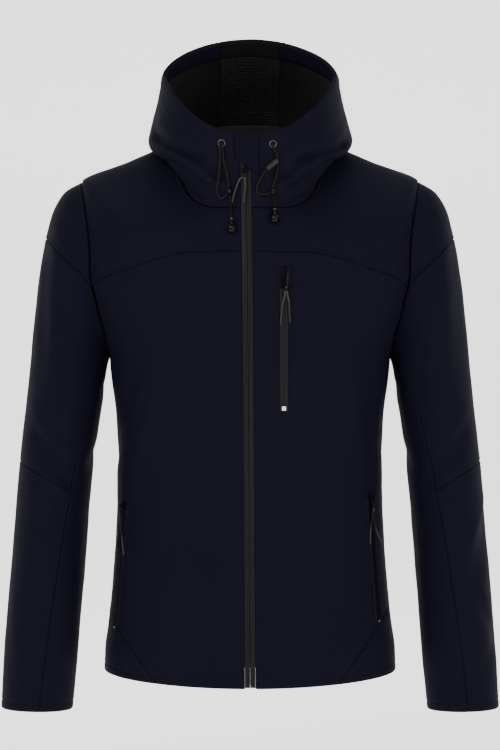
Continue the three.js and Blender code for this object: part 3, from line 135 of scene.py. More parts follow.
# The line of the zip, a little off centre as the cloth hangs
ZIP_LINE = table("z x", (-697, 0.3), (-149, -3.6), (-93, -4.6), (2, -6.4))
FRONT_YOKE_SEAM = table("x z", (14, -147), (70, -148), (113, -155.5), (154, -169))
SIDE_PANELS = {
    "left": {"front": 86.0, "back": 98.0, "wing_top": -600.0, "front_wing": 34.5, "back_wing": 142.0},
    "right": {"front": 86.0, "back": 98.0, "wing_top": -611.0, "front_wing": 36.5, "back_wing": 140.0},
}
ELBOW_SEAM = {"outer": 362.0, "front": 390.0, "back": 386.0}
SLEEVE_SEAM = table(
    "along front back turn",
    (0, 142.5, 142.5, 0), (150, 136, 138, 0.4), (290, 126, 132, 0.8), (390, 118, 126, 1),
    (480, 108, 118, 1), (600, 97, 108, 1), (686, 92, 104, 1),
)

# The soft creases that the part's own solids have: a trough or ridge with its two ends
TORSO_CREASES = table(
    "x1 z1 x2 z2 width height face",
    (-126, -286, -162, -440, 17, 2.6, -1),
    (-142, -290, -176, -420, 15, -3, -1),
    (132, -296, 150, -440, 17, 2.2, -1),
    (150, -300, 168, -400, 15, -2.6, -1),
    (-120, -300, -158, -450, 20, -3, 1),
    (116, -290, 152, -430, 20, -3, 1),
    (-60, -430, 70, -446, 24, -2.4, 1),
)
SLEEVE_CREASES = table(
    "turn1 along1 turn2 along2 width height side",
    (60, 330, 118, 372, 16, -3.2, 0),
    (30, 60, 52, 250, 18, -2.4, 0),
    (70, 120, 96, 290, 18, 2.2, 0),
    (20, 440, 64, 520, 15, -2.8, 1),
    (64, 520, 12, 590, 15, -2.8, 1),
    (300, 320, 240, 360, 17, -3, 0),
    (200, 300, 160, 340, 15, -2.6, 0),
)


def hermite(xs, ys, at):
    """Smooth values between knots, without overshoot. ys has a row for each knot."""
    shape = (-1,) + (1,) * (ys.ndim - 1)
    gaps = np.diff(xs).reshape(shape)
    slopes = np.diff(ys, axis=0) / gaps
    product = slopes[:-1] * slopes[1:]
    total = slopes[:-1] + slopes[1:]
    inner = np.where(product > 0, 2 * product / np.where(product > 0, total, 1), 0)
    tangents = np.concatenate([slopes[:1], inner, slopes[-1:]])
    i = np.clip(np.searchsorted(xs, at) - 1, 0, len(xs) - 2)
    step = xs[i + 1] - xs[i]
    t = np.clip((at - xs[i]) / step, 0, 1)
    rise = (2 * t - 3) * t * t
    if ys.ndim == 1:
        low, high, before, after = ys[i], ys[i + 1], tangents[i], tangents[i + 1]
    else:
        column_of = np.arange(ys.shape[1])
        low, high = ys[i, column_of], ys[i + 1, column_of]
        before, after = tangents[i, column_of], tangents[i + 1, column_of]
    return low * (1 + rise) - high * rise + step * (before * t * (1 - t) ** 2 - after * t * t * (1 - t))


def column(rows, by, key, at):
    """One column of a table, read between its rows."""
    return hermite(rows[by], rows[key], np.asarray(at, float))


def ring_point(ring, turn, square, rise):
    """A point of a ring at a turn from the centre front, in degrees, positive towards +X."""
    across, ahead = np.sin(np.radians(turn)), np.cos(np.radians(turn))
    reach = (np.abs(across) ** square + np.abs(ahead) ** square) ** (-1 / square)
    front = ahead > 0
    y_end = np.where(front, ring["y_front"], ring["y_back"])
    z_end = np.where(front, ring["z_front"], ring["z_back"])
    share = np.where(front, 1 - np.abs(across) ** ring["bowl"], np.abs(ahead) ** rise)
    x = ring["half_width"] * reach * across
    y = ring["y_side"] + (y_end - ring["y_side"]) * reach * np.abs(ahead)
    z = ring["z_side"] + (z_end - ring["z_side"]) * share
    return np.stack([x, y, z], -1)


def plain_torso(turn, side):
    turn, side = np.broadcast_arrays(np.asarray(turn, float), np.asarray(side, float))
    ring = {key: column(TORSO_RINGS, "side", key, side) for key in TORSO_RINGS if key != "side"}
    ring.update(y_side=0 * side, z_side=side)
    return ring_point(ring, turn, ring["square"], 2)


def plain_hood(turn, at):
    turn, at = np.broadcast_arrays(np.asarray(turn, float), np.asarray(at, float))
    ring = {key: column(HOOD_RINGS, "ring", key, at) for key in HOOD_RINGS if key != "ring"}
    return ring_point(ring, turn, HOOD_SQUARE, ring["rise"])


def normal_of(form, a, b, step_a=0.2, step_b=0.02):
    """Outward normals of a form, from small steps over it."""
    over_a = form(a + step_a, b) - form(a - step_a, b)
    over_b = form(a, b + step_b) - form(a, b - step_b)
    across = np.cross(over_a, over_b)
    return across / np.maximum(np.linalg.norm(across, axis=-1, keepdims=True), 1e-12)


def crease_height(rows, ends, a, b, chosen):
    """Height of the chosen creases at a place, given by two lengths measured on the cloth."""
    height = np.zeros(np.broadcast(a, b).shape)
    for i in np.flatnonzero(chosen):
        a1, b1, a2, b2 = ends(i)
        run = math.hypot(a2 - a1, b2 - b1)
        t = ((a - a1) * (a2 - a1) + (b - b1) * (b2 - b1)) / run**2
        off = np.hypot(a - a1 - t * (a2 - a1), b - b1 - t * (b2 - b1)) / rows["width"][i]
        past = np.maximum(0, np.abs(t - 0.5) - 0.35) * run / (1.6 * rows["width"][i])
        height = height + rows["height"][i] * np.exp(-off * off - past * past)
    return height


def torso_creases(rows, turn, point):
    """Height of a table of creases on the torso, each on the front or the back."""
    ends = lambda i: (rows["x1"][i], rows["z1"][i], rows["x2"][i], rows["z2"][i])
    wrapped = (np.asarray(turn, float) + 180) % 360 - 180
    height = 0
    for face in (-1, 1):
        here = (np.abs(wrapped) < 90) == (face < 0)
        height = height + here * crease_height(rows, ends, point[..., 0], point[..., 2], rows["face"] == face)
    return height


def torso(turn, side):
    point = plain_torso(turn, side)
    height = torso_creases(TORSO_CREASES, turn, point)
    return point + normal_of(plain_torso, turn, side, 0.2, 0.5) * height[..., None]


def smooth_step(at, low, high):
    t = np.clip((at - low) / (high - low), 0, 1)
    return t * t * (3 - 2 * t)


def bell(distance, width):
    """A smooth bump: 1 at no distance, and almost 0 from two widths on."""
    return np.exp(-((distance / width) ** 2))


def hood(turn, at):
    point = plain_hood(turn, at)
    angle = np.abs((np.asarray(turn, float) + 180) % 360 - 180)
    proud = column(HOOD_FOLD, "angle", "proud", angle)
    over = at - column(HOOD_FOLD, "angle", "ring", angle)
    below = 1 - 1.35 * np.minimum(1, -over / FOLD_TUCK) ** 2
    swell = np.where(over > 0, bell(over, FOLD_RISE), below)
    held = smooth_step(at, 0, 0.6) * (1 - smooth_step(at, 5.5, RIM))
    return point + normal_of(plain_hood, turn, at) * (proud * swell * held)[..., None]


def locate(form, axis, value, z, low, high, turns):
    """Places on a form where one coordinate and the height have given values, found by halving."""
    value, z = np.broadcast_arrays(np.asarray(value, float), np.asarray(z, float))
    a, b = np.full(z.shape, float(low)), np.full(z.shape, float(high))
    first, last = np.full(z.shape, float(turns[0])), np.full(z.shape, float(turns[1]))
    for _ in range(26):
        at = (a + b) / 2
        t1, t2 = first.copy(), last.copy()
        rising = form(t2, at)[..., axis] > form(t1, at)[..., axis]
        for _ in range(26):
            turn = (t1 + t2) / 2
            ahead = (form(turn, at)[..., axis] < value) == rising
            t1, t2 = np.where(ahead, turn, t1), np.where(ahead, t2, turn)
        lower = form(turn, at)[..., 2] < z
        a, b = np.where(lower, at, a), np.where(lower, b, at)
    return turn, (a + b) / 2


def on_torso_front(x, z):
    return locate(plain_torso, 0, x, z, HEM_SIDE, 0, (-90, 90))


def on_torso_side(y, z, side):
    """Places on the torso's side; side is 1 or -1, and y is all in front or all behind."""
    turns = (90 * side, 180 * side) if np.max(y) > 0 else (0, 90 * side)
    return locate(plain_torso, 1, y, z, HEM_SIDE, 0, turns)


def on_hood_front(x, z):
    return locate(plain_hood, 0, x, z, 0, RIM, (-90, 90))


def front_place(x, z):
    """Form, turn and ring of a single place on the front, on the torso or on the hood above it."""
    turn, side = on_torso_front(x, z)
    if side < -0.01:
        return torso, turn, side
    return (hood, *on_hood_front(x, z))


def front_points(rows):
    """Points on the front for rows of x, z and how far each stands off the cloth."""
    x, z, lift = np.array(rows, float).T
    points, normals = np.empty((len(x), 3)), np.empty((len(x), 3))
    turn, side = on_torso_front(x, z)
    low = side < -0.01
    points[low], normals[low] = torso(turn, side)[low], normal_of(torso, turn, side)[low]
    if not low.all():
        turn, ring = on_hood_front(x, z)
        points[~low], normals[~low] = hood(turn, ring)[~low], normal_of(hood, turn, ring)[~low]
    return points + normals * lift[:, None]


def armhole_place(angle, side):
    """Places on the torso of armhole angles, in degrees from the shoulder tip; negative is the back."""
    angle = np.asarray(angle, float)
    middle, half = (ARMHOLE["top"] + ARMHOLE["bottom"]) / 2, (ARMHOLE["top"] - ARMHOLE["bottom"]) / 2
    z = middle + half * np.cos(np.radians(angle))
    turn, at = np.full(angle.shape, 90.0 * side), z.copy()
    for sign, reach in ((1, ARMHOLE["y_front"]), (-1, ARMHOLE["y_back"])):
        part = (angle * sign > 0.01) & (angle * sign < 179.99)
        if part.any():
            y = reach * np.sin(np.radians(np.abs(angle[part])))
            turn[part], at[part] = on_torso_side(y, z[part], side)
    return np.stack([turn, at], -1)


ARMHOLE_ANGLES = np.linspace(-180, 180, 721)
ARMHOLE_POINTS = {}
for _side in (1, -1):
    _places = armhole_place(ARMHOLE_ANGLES, _side)
    ARMHOLE_POINTS[_side] = torso(_places[:, 0], _places[:, 1])


def sleeve_form(side):
    """A sleeve as a form: an angle round it, 0 outside, 90 in front, 180 inside, and a length along it."""
    stations = SLEEVE_STATIONS
    knots = np.concatenate([[0], stations["along"]])

    def plain(angle, along):
        angle, along = np.broadcast_arrays(np.asarray(angle, float), np.asarray(along, float))
        turn = (angle.ravel() + 180) % 360 - 180
        at = along.ravel()
        across, ahead = np.cos(np.radians(turn)), np.sin(np.radians(turn))
        start = [np.interp(turn, ARMHOLE_ANGLES, ARMHOLE_POINTS[side][:, k]) for k in range(3)]
        rows = []
        for k in range(len(stations["along"])):
            row = {key: stations[key][k] for key in stations}
            y = np.where(ahead > 0, row["y_front"], row["y_back"]) * np.abs(ahead)
            x = (row["outer_x"] + row["inner_x"]) / 2 + (row["outer_x"] - row["inner_x"]) / 2 * across
            z = (row["outer_z"] + row["inner_z"]) / 2 + (row["outer_z"] - row["inner_z"]) / 2 * across
            rows.append((x, y, z))
        out = []
        for k in range(3):
            first = start[k] * (side if k == 0 else 1)
            values = np.stack([first] + [row[k] for row in rows])
            out.append(hermite(knots, values, at))
        out[0] = out[0] * side
        return np.stack(out, -1).reshape(angle.shape + (3,))

    def form(angle, along):
        point = plain(angle, along)
        height = sleeve_creases(SLEEVE_CREASES, side, angle, along)
        normal = normal_of(plain, angle, along, 0.5, 0.5) * side
        return point + normal * height[..., None]

    return form


SLEEVE_RADIUS = 52.0


def sleeve_creases(rows, side, angle, along):
    """Height of a table of creases on a sleeve; side 0 in a row means both sleeves."""
    around = np.radians(1) * SLEEVE_RADIUS
    ends = lambda i: (rows["turn1"][i] * around, rows["along1"][i],
                      rows["turn2"][i] * around, rows["along2"][i])
    chosen = (rows["side"] == 0) | (rows["side"] == side)
    return crease_height(rows, ends, (np.asarray(angle, float) % 360) * around, along, chosen)


SLEEVES = {side: sleeve_form(side) for side in (1, -1)}

# How much finer the edges of the panels are sampled than the part's own solids
FINE = 6
YOKE_AT, SLEEVE_SEAM_AT, GUSSET_AT, UNDERARM_AT = 7 * FINE, 9 * FINE, 11 * FINE, 13 * FINE
FRONT_STEPS, BACK_STEPS, WING_STEPS, SIDE_STEPS = 7 * FINE, 14 * FINE, 3 * FINE, 8 * FINE
NECK_FRONT_STEPS, NECK_SIDE_STEPS, NECK_CENTRE_STEPS = 5 * FINE, 11 * FINE, 3 * FINE
UPPER_STEPS, LOWER_STEPS = 7 * FINE, 4 * FINE
HOOD_ROWS = np.array([0, 0.4, 1, 1.7, 2.4, 3.2, 4.1, 5.1, 6.1, RIM])


def steps_between(start, end, count):
    return np.linspace(start, end, count + 1)


def join_edges(*parts):
    """One edge from several, each starting where the last one ends."""
    return np.concatenate([parts[0]] + [part[1:] for part in parts[1:]])


def spaced_out(values, count):
    """Values between the given ones, count to each step."""
    at = np.arange((len(values) - 1) * count + 1) / count
    return np.interp(at, np.arange(len(values)), values)


ARMHOLE_STOPS = spaced_out(np.concatenate([
    ARMHOLE_YOKE * np.arange(7) / 7,
    ARMHOLE_YOKE + (ARMHOLE_SLEEVE_SEAM - ARMHOLE_YOKE) * np.arange(2) / 2,
    ARMHOLE_SLEEVE_SEAM + (ARMHOLE_GUSSET - ARMHOLE_SLEEVE_SEAM) * np.arange(2) / 2,
    ARMHOLE_GUSSET + (ARMHOLE_UNDERARM - ARMHOLE_GUSSET) * np.arange(3) / 2,
]), FINE)


def zip_edge(z, side):
    return column(ZIP_LINE, "z", "x", z) + side * ZIP_HALF_WIDTH


def places(turn, at):
    return np.stack(np.broadcast_arrays(np.asarray(turn, float), np.asarray(at, float)), -1)


def strip_turn(ring):
    """The turn on a ring of the hood where the centre strip's seam runs."""
    near, far = np.full(np.shape(ring), 90.0), np.full(np.shape(ring), 180.0)
    for _ in range(30):
        turn = (near + far) / 2
        wide = plain_hood(turn, ring)[..., 0] > STRIP_WIDTH / 2
        near, far = np.where(wide, turn, near), np.where(wide, far, turn)
    return turn


def hood_front_turn(ring, side):
    """The turn on a ring of the hood where its front edge lies, beside the zip."""
    edge = zip_edge(column(HOOD_RINGS, "ring", "z_front", ring), side)
    low, high = np.full(np.shape(ring), -90.0), np.full(np.shape(ring), 90.0)
    for _ in range(30):
        turn = (low + high) / 2
        before = plain_hood(turn, ring)[..., 0] < edge
        low, high = np.where(before, turn, low), np.where(before, high, turn)
    return turn


NECK_STRIP = float(strip_turn(np.array(0.0)))
NECK_BACK = join_edges(
    steps_between((90, 0), (NECK_STRIP, 0), NECK_SIDE_STEPS),
    steps_between((NECK_STRIP, 0), (180, 0), NECK_CENTRE_STEPS),
)


def mirrored(edge):
    """An edge on the other side of the back's middle line."""
    return np.stack([360 - edge[:, 0], edge[:, 1]], -1)


PANELS = {}


def add_panel(name, form, low, high, start, end, outward=1, **sewn):
    """Notes a panel: its lower, upper, first and last edge, and how each of them is sewn."""
    PANELS[name] = dict(form=form, edges=(low, high, start, end), outward=outward, sewn=sewn)


def wing_seam(foot, top):
    """The front seam of a side panel's wing, straight as seen from the front."""
    low, high = plain_torso(*foot), plain_torso(*top)
    share = np.arange(1, WING_STEPS) / WING_STEPS
    turns, heights = on_torso_front(low[..., 0] + (high[..., 0] - low[..., 0]) * share,
                                    low[..., 2] + (high[..., 2] - low[..., 2]) * share)
    return np.concatenate([[foot], places(turns, heights), [top]])


def beside_zip(heights, side):
    """Places on the torso along the zip's edge."""
    return places(*on_torso_front(zip_edge(heights, side), heights))


def torso_side(side, handed):
    """The front, the front yoke and the side panel of one side, as edges on the torso."""
    armhole, back_armhole = armhole_place(ARMHOLE_STOPS, side), armhole_place(-ARMHOLE_STOPS, side)
    panel = SIDE_PANELS[handed]
    foot, foot_back = (panel["front_wing"] * side, HEM_SIDE), (panel["back_wing"] * side, HEM_SIDE)
    wing, wing_back = (panel["front"] * side, panel["wing_top"]), (panel["back"] * side, panel["wing_top"])
    front_seam = join_edges(wing_seam(foot, wing), steps_between(wing, armhole[GUSSET_AT], SIDE_STEPS))
    back_seam = join_edges(steps_between(foot_back, wing_back, WING_STEPS),
                           steps_between(wing_back, back_armhole[GUSSET_AT], SIDE_STEPS))
    seam_top = FRONT_YOKE_SEAM["z"][0]
    yoke_start = np.array(on_torso_front(zip_edge(seam_top, side), seam_top), float)
    turns, heights = on_torso_front(side * FRONT_YOKE_SEAM["x"][1:], FRONT_YOKE_SEAM["z"][1:])
    knots = {
        "turn": np.concatenate([[yoke_start[0]], turns, [armhole[YOKE_AT][0]]]) * side,
        "at": np.concatenate([[yoke_start[1]], heights, [armhole[YOKE_AT][1]]]),
    }
    across = np.linspace(knots["turn"][0], knots["turn"][-1], FRONT_STEPS + 1)
    yoke_seam = places(across * side, column(knots, "turn", "at", across))
    hem_start = on_torso_front(zip_edge(HEM_FRONT, side), HEM_FRONT + 0.05)[0]
    hem = steps_between((float(hem_start), HEM_SIDE), foot, FRONT_STEPS)
    body_side = join_edges(front_seam, armhole[YOKE_AT:GUSSET_AT + 1][::-1])
    rows = len(body_side) - 1
    heights = HEM_FRONT + (seam_top - HEM_FRONT) * np.arange(1, rows) / rows
    zip_side = np.concatenate([hem[:1], beside_zip(heights, side), [yoke_start]])
    add_panel(f"front_body_{handed}", torso, hem, yoke_seam, zip_side, body_side,
              bottom="hem", top="seam", left="zip", right="side")

    neck_turn = on_torso_front(zip_edge(NECK_FRONT + 0.1, side), NECK_FRONT + 0.1)[0]
    neck_start = (float(neck_turn), 0)
    neck_front = steps_between(neck_start, (90 * side, 0), NECK_FRONT_STEPS)
    heights = np.linspace(seam_top, NECK_FRONT, YOKE_AT - NECK_FRONT_STEPS + 1)[1:-1]
    inner = join_edges(np.concatenate([[yoke_start], beside_zip(heights, side), [neck_start]]), neck_front)
    shoulder = steps_between((90 * side, 0), (90 * side, ARMHOLE["top"]), FRONT_STEPS)
    add_panel(f"front_yoke_{handed}", torso, yoke_seam, shoulder, inner, armhole[:YOKE_AT + 1][::-1],
              bottom="double", top="seam", left="neck", right="seam")

    underarm = np.concatenate([armhole[GUSSET_AT:], back_armhole[GUSSET_AT:UNDERARM_AT][::-1]])
    add_panel(f"side_panel_{handed}", torso, steps_between(foot, foot_back, len(underarm) - 1), underarm,
              front_seam, back_seam, bottom="hem", top="seam", left="seam", right="seam")
    return dict(back_armhole=back_armhole, back_seam=back_seam, neck_front=neck_front)


def torso_back(left, right):
    turn_round = lambda edge: edge + np.array([360.0, 0.0])
    left_arm, right_arm = left["back_armhole"], turn_round(right["back_armhole"])
    left_side = join_edges(left["back_seam"], left_arm[YOKE_AT:GUSSET_AT + 1][::-1])
    right_side = join_edges(turn_round(right["back_seam"]), right_arm[YOKE_AT:GUSSET_AT + 1][::-1])
    start = left_arm[YOKE_AT]
    turn = np.linspace(start[0], 360 - start[0], BACK_STEPS + 1)
    off = (turn - 180) / (start[0] - 180)
    seam = places(turn, BACK_YOKE_CENTRE + (start[1] - BACK_YOKE_CENTRE) * off**2)
    hem = steps_between(left_side[0], right_side[0], BACK_STEPS)
    add_panel("back_body", torso, hem, seam, left_side, right_side,
              bottom="hem", top="seam", left="side", right="side")
    outer = join_edges(left_arm[:YOKE_AT + 1], seam, right_arm[:YOKE_AT + 1][::-1])
    neck = join_edges(NECK_BACK, mirrored(NECK_BACK)[::-1])
    shoulder = steps_between((90, ARMHOLE["top"]), (90, 0), FRONT_STEPS)
    add_panel("back_yoke", torso, outer, neck, shoulder, mirrored(shoulder),
              bottom="double", top="seam", left="double", right="double")


def cap_along(angle):
    share = np.cos(np.minimum(np.abs(angle) / ARMHOLE_YOKE, 1) * math.pi / 2)
    return np.where(share < 1e-6, 0, CAP_SEAM * np.maximum(share, 1e-9) ** 0.85)


def sleeve_seam(side, front, start, end, count):
    along = np.linspace(start, end, count + 1)
    shift = -side * SLEEVE_TURN * column(SLEEVE_SEAM, "along", "turn", along)
    angle = column(SLEEVE_SEAM, "along", "front" if front else "back", along)
    return places((angle if front else -angle) + shift, along)


def sleeve_panels(side, handed):
    form = SLEEVES[side]
    angles = ARMHOLE_STOPS[:SLEEVE_SEAM_AT + 1]
    across = np.concatenate([-angles[:0:-1], angles])
    cap = across[np.abs(across) <= ARMHOLE_YOKE + 0.01]
    add_panel(f"sleeve_cap_{handed}", form, places(cap, 0 * cap), places(cap, cap_along(cap)),
              places([cap[0]] * 4, 0), places([cap[-1]] * 4, 0), side,
              bottom="double", top="double", left="none", right="none")
    back_upper = sleeve_seam(side, False, 0, ELBOW_SEAM["back"], UPPER_STEPS)
    front_upper = sleeve_seam(side, True, 0, ELBOW_SEAM["front"], UPPER_STEPS)
    back_lower = sleeve_seam(side, False, ELBOW_SEAM["back"], CUFF_LENGTH, LOWER_STEPS)
    front_lower = sleeve_seam(side, True, ELBOW_SEAM["front"], CUFF_LENGTH, LOWER_STEPS)
    turn = np.linspace(back_lower[0][0], front_lower[0][0], len(across))
    end_turn = np.where(turn > 0, front_lower[0][0], back_lower[0][0])
    end_along = np.where(turn > 0, front_lower[0][1], back_lower[0][1])
    elbow = places(turn, ELBOW_SEAM["outer"] + (end_along - ELBOW_SEAM["outer"]) * (turn / end_turn) ** 2)
    add_panel(f"sleeve_upper_{handed}", form, places(across, cap_along(across)), elbow,
              back_upper, front_upper, side, bottom="seam", top="seam", left="seam", right="side")
    cuff = steps_between(back_lower[-1], front_lower[-1], len(across) - 1)
    add_panel(f"sleeve_forearm_{handed}", form, elbow, cuff, back_lower, front_lower, side,
              bottom="double", top="hem", left="seam", right="side")
    low = ARMHOLE_STOPS[SLEEVE_SEAM_AT:]
    top = np.concatenate([low, 360 - low[-2::-1]])
    under_front = join_edges(front_upper, front_lower)
    under_back = join_edges(back_upper, back_lower) + np.array([360.0, 0.0])
    foot = steps_between(under_front[-1], under_back[-1], len(top) - 1)
    add_panel(f"sleeve_under_{handed}", form, places(top, 0 * top), foot, under_front, under_back, side,
              bottom="seam", top="hem", left="seam", right="seam")


def hood_panels(neck_fronts):
    rings = spaced_out(HOOD_ROWS, FINE)
    strip = places(strip_turn(rings), rings)
    for side, handed in ((1, "left"), (-1, "right")):
        back_part = NECK_BACK[:NECK_SIDE_STEPS + 1] * np.array([side, 1])
        neck = join_edges(neck_fronts[handed], back_part)
        front = places(hood_front_turn(rings, side), rings)
        front[0] = neck[0]
        back = strip * np.array([side, 1])
        rim = join_edges(steps_between(front[-1], (90 * side, RIM), NECK_FRONT_STEPS),
                         steps_between((90 * side, RIM), back[-1], NECK_SIDE_STEPS))
        add_panel(f"hood_side_{handed}", hood, neck, rim, front, back,
                  bottom="seam", top="rim", left="zip", right="double")
    behind = NECK_BACK[NECK_SIDE_STEPS:]
    neck = join_edges(behind, mirrored(behind)[::-1])
    rim = steps_between(strip[-1], mirrored(strip)[-1], len(neck) - 1)
    add_panel("hood_centre", hood, neck, rim, strip, mirrored(strip),
              bottom="seam", top="rim", left="seam", right="seam")


def lay_out_panels(step):
    PANELS["step"] = step
    sides = {handed: torso_side(side, handed) for side, handed in ((1, "left"), (-1, "right"))}
    torso_back(sides["left"], sides["right"])
    for side, handed in ((1, "left"), (-1, "right")):
        sleeve_panels(side, handed)
    hood_panels({handed: sides[handed]["neck_front"] for handed in sides})


# Finer creases that only the cloth shown here has: troughs below 0 and ridges above
TORSO_FOLDS = table(
    "x1 z1 x2 z2 width height face",
    (-119, -322, -150, -446, 9, 1.5, -1),
    (-134, -330, -163, -430, 8, -1.6, -1),
    (-152, -352, -168, -470, 10, 1.3, -1),
    (135, -330, 149, -440, 8, 1.3, -1),
    (143, -345, 158, -462, 9, -1.4, -1),
    (120, -420, 150, -512, 13, 1.1, -1),
    (-104, -468, -148, -560, 15, 1.0, -1),
    (-60, -232, -24, -300, 16, -0.8, -1),
    (62, -190, 96, -250, 17, -0.7, -1),
    (-90, -196, -130, -262, 15, 0.9, -1),
    (104, -206, 140, -268, 14, 0.9, -1),
    (20, -520, 60, -640, 20, 0.8, -1),
    (-40, -540, -80, -650, 20, -0.8, -1),
    (-152, -560, -134, -650, 11, -1.0, -1),
    (150, -574, 132, -656, 11, -1.0, -1),
    (-112, -330, -148, -430, 9, 1.6, 1),
    (-134, -320, -160, -470, 10, -1.7, 1),
    (110, -318, 146, -414, 9, 1.5, 1),
    (128, -316, 158, -460, 10, -1.8, 1),
    (-84, -408, 30, -424, 11, 1.3, 1),
    (-20, -452, 96, -462, 12, -1.4, 1),
    (-70, -474, 44, -486, 14, 1.0, 1),
    (-118, -180, -84, -236, 13, -1.2, 1),
    (120, -186, 80, -240, 13, -1.1, 1),
    (-46, -220, 52, -214, 18, 0.8, 1),
    (-30, -560, -62, -660, 20, 0.9, 1),
    (36, -548, 74, -650, 20, -0.9, 1),
)
SLEEVE_FOLDS = table(
    "turn1 along1 turn2 along2 width height side",
    (48, 316, 112, 350, 8, -1.8, 0),
    (58, 352, 122, 392, 8, 1.6, 0),
    (66, 374, 118, 424, 9, -1.5, 0),
    (40, 284, 92, 318, 9, 1.2, 0),
    (22, 92, 40, 230, 9, 1.2, -1),
    (84, 140, 104, 262, 9, -1.4, -1),
    (76, 60, 110, 190, 10, 1.4, 1),
    (96, 84, 122, 226, 9, -1.5, 1),
    (10, 404, 60, 462, 8, 1.3, 1),
    (58, 508, 16, 574, 8, 1.7, 1),
    (14, 590, 58, 636, 9, -1.2, 1),
    (70, 470, 100, 560, 10, -1.2, -1),
    (34, 520, 60, 640, 10, 1.0, -1),
    (296, 300, 236, 336, 9, 1.4, 0),
    (306, 344, 244, 392, 9, -1.6, 0),
    (286, 380, 240, 424, 10, 1.2, 0),
    (270, 110, 300, 250, 11, -1.3, 0),
    (262, 480, 292, 600, 11, 1.2, 0),
    (190, 90, 170, 180, 12, -1.2, 0),
    (180, 420, 196, 520, 11, 1.0, 0),
)
# On the hood a place is an angle and a ring. The deep ones are the roll that hangs over at its foot
HOOD_FOLDS = table(
    "turn1 ring1 turn2 ring2 width height",
    (18, 2.7, 30, 3.95, 7, -6.5),
    (30, 3.95, 64, 3.35, 8, -7.5),
    (26, 0.8, 70, 1.3, 8, 2.0),
    (-17, 2.7, -29, 4.05, 7, -6.5),
    (-29, 4.05, -68, 3.9, 8, -7.5),
    (-30, 0.8, -74, 1.2, 8, 2.0),
    (32, 4.75, 64, 4.2, 10, 2.4),
    (-32, 4.9, -66, 4.8, 10, 2.4),
    (-62, 1.4, -98, 4.4, 10, -1.1),
    (66, 1.2, 100, 3.8, 10, -1.0),
    (104, 3.2, 134, 5.2, 13, -1.3),
    (-108, 2.8, -140, 5.0, 13, -1.4),
    (118, 1.4, 156, 2.2, 9, -1.6),
    (-116, 1.5, -158, 2.3, 9, -1.5),
    (168, 1.0, 192, 2.4, 9, 1.3),
    (150, 2.6, 172, 3.1, 10, 1.1),
    (78, 4.6, 112, 6.2, 12, 0.9),
    (-74, 4.4, -112, 6.0, 12, 0.9),
)
# Millimetres of cloth to a degree round the hood, and to a ring
HOOD_DEGREE, HOOD_RING = 1.95, 26.0

# How each kind of edge is sewn: the stitch line's distance from it, and humps (distance, width, height)
SEWN = {
    "none": dict(stitch=None, humps=()),
    "seam": dict(stitch=None, humps=((0, 1.2, -1.1), (3.2, 2.0, 0.25))),
    "double": dict(stitch=5.6, humps=((0, 1.2, -1.1), (2.9, 1.7, 0.45), (5.6, 0.75, -0.5), (8.2, 1.6, 0.2))),
    "side": dict(stitch=5.6, humps=((0, 1.2, -1.0), (2.9, 1.7, 0.3), (5.6, 0.75, -0.4))),
    "zip": dict(stitch=6.4, humps=((0, 0.9, -0.8), (2.6, 1.7, 0.5), (6.4, 0.75, -0.5), (9.2, 1.8, 0.2))),
    "neck": dict(stitch=6.4, humps=((0, 1.0, -1.0), (2.8, 1.7, 0.45), (6.4, 0.75, -0.5), (9, 1.6, 0.2))),
    "hem": dict(stitch=11, humps=((0, 0.9, -0.9), (5.4, 3.6, 0.45), (11, 0.85, -0.6), (14.4, 2, 0.25))),
    "rim": dict(stitch=21, humps=((0, 1.1, -0.9), (8, 6, 0.5), (21, 0.9, -0.5))),
}
# Distances from an edge of the grid lines beside it
EDGE_STEPS = {
    "none": (0, 3),
    "seam": (0, 0.4, 0.9, 1.6, 2.6, 4, 6, 9),
    "double": (0, 0.4, 0.9, 1.6, 2.7, 3.9, 4.9, 5.6, 6.3, 7.4, 9, 12),
    "zip": (0, 0.35, 0.8, 1.5, 2.6, 4.2, 5.6, 6.4, 7.2, 8.4, 10, 13),
    "hem": (0, 0.35, 0.8, 1.5, 2.8, 5, 7.6, 9.6, 10.4, 11, 11.6, 12.4, 14.4, 17),
    "rim": (0, 0.4, 0.9, 1.7, 3.2, 6, 10, 14, 18, 20.2, 21, 21.8, 24),
}
EDGE_STEPS.update(side=EDGE_STEPS["double"], neck=EDGE_STEPS["zip"])
# SEAM_SHADE is the width, in millimetres, of the painted shade beside each sewn edge
SEAM_INSET, DEEPEST_SEAM, SEAM_SHADE = 0.04, -1.25, 3.0
TABLE_STEPS, TABLE_ROUNDS = 49, 4


def edge_at(edge, t):
    at = np.clip(t, 0, 1) * (len(edge) - 1)
    index = np.arange(len(edge))
    return np.stack([np.interp(at, index, edge[:, k]) for k in (0, 1)], -1)


def patch_places(panel, u, v):
    """Places on the form inside a panel's four edges."""
    bottom, top, left, right = panel["edges"]
    U, V = u[..., None], v[..., None]
    sides = ((1 - V) * edge_at(bottom, u) + V * edge_at(top, u)
             + (1 - U) * edge_at(left, v) + U * edge_at(right, v))
    corners = ((1 - U) * (1 - V) * bottom[0] + U * (1 - V) * bottom[-1]
               + (1 - U) * V * top[0] + U * V * top[-1])
    return sides - corners


def line_marks(length, first, last, step):
    """Distances along a line: the steps of its two ends, and even ones between."""
    first, last = np.array(first, float), np.array(last, float)
    squeeze = np.minimum(1, 0.9 * length / (first[-1] + last[-1]))[:, None]
    count = max(2, int(np.ceil((length.max() - first[-1] - last[-1]) / step)))
    start, end = first[-1] * squeeze, length[:, None] - last[-1] * squeeze
    middle = start + (end - start) * np.arange(1, count) / count
    return np.concatenate([first * squeeze, middle, length[:, None] - (last * squeeze)[:, ::-1]], 1)


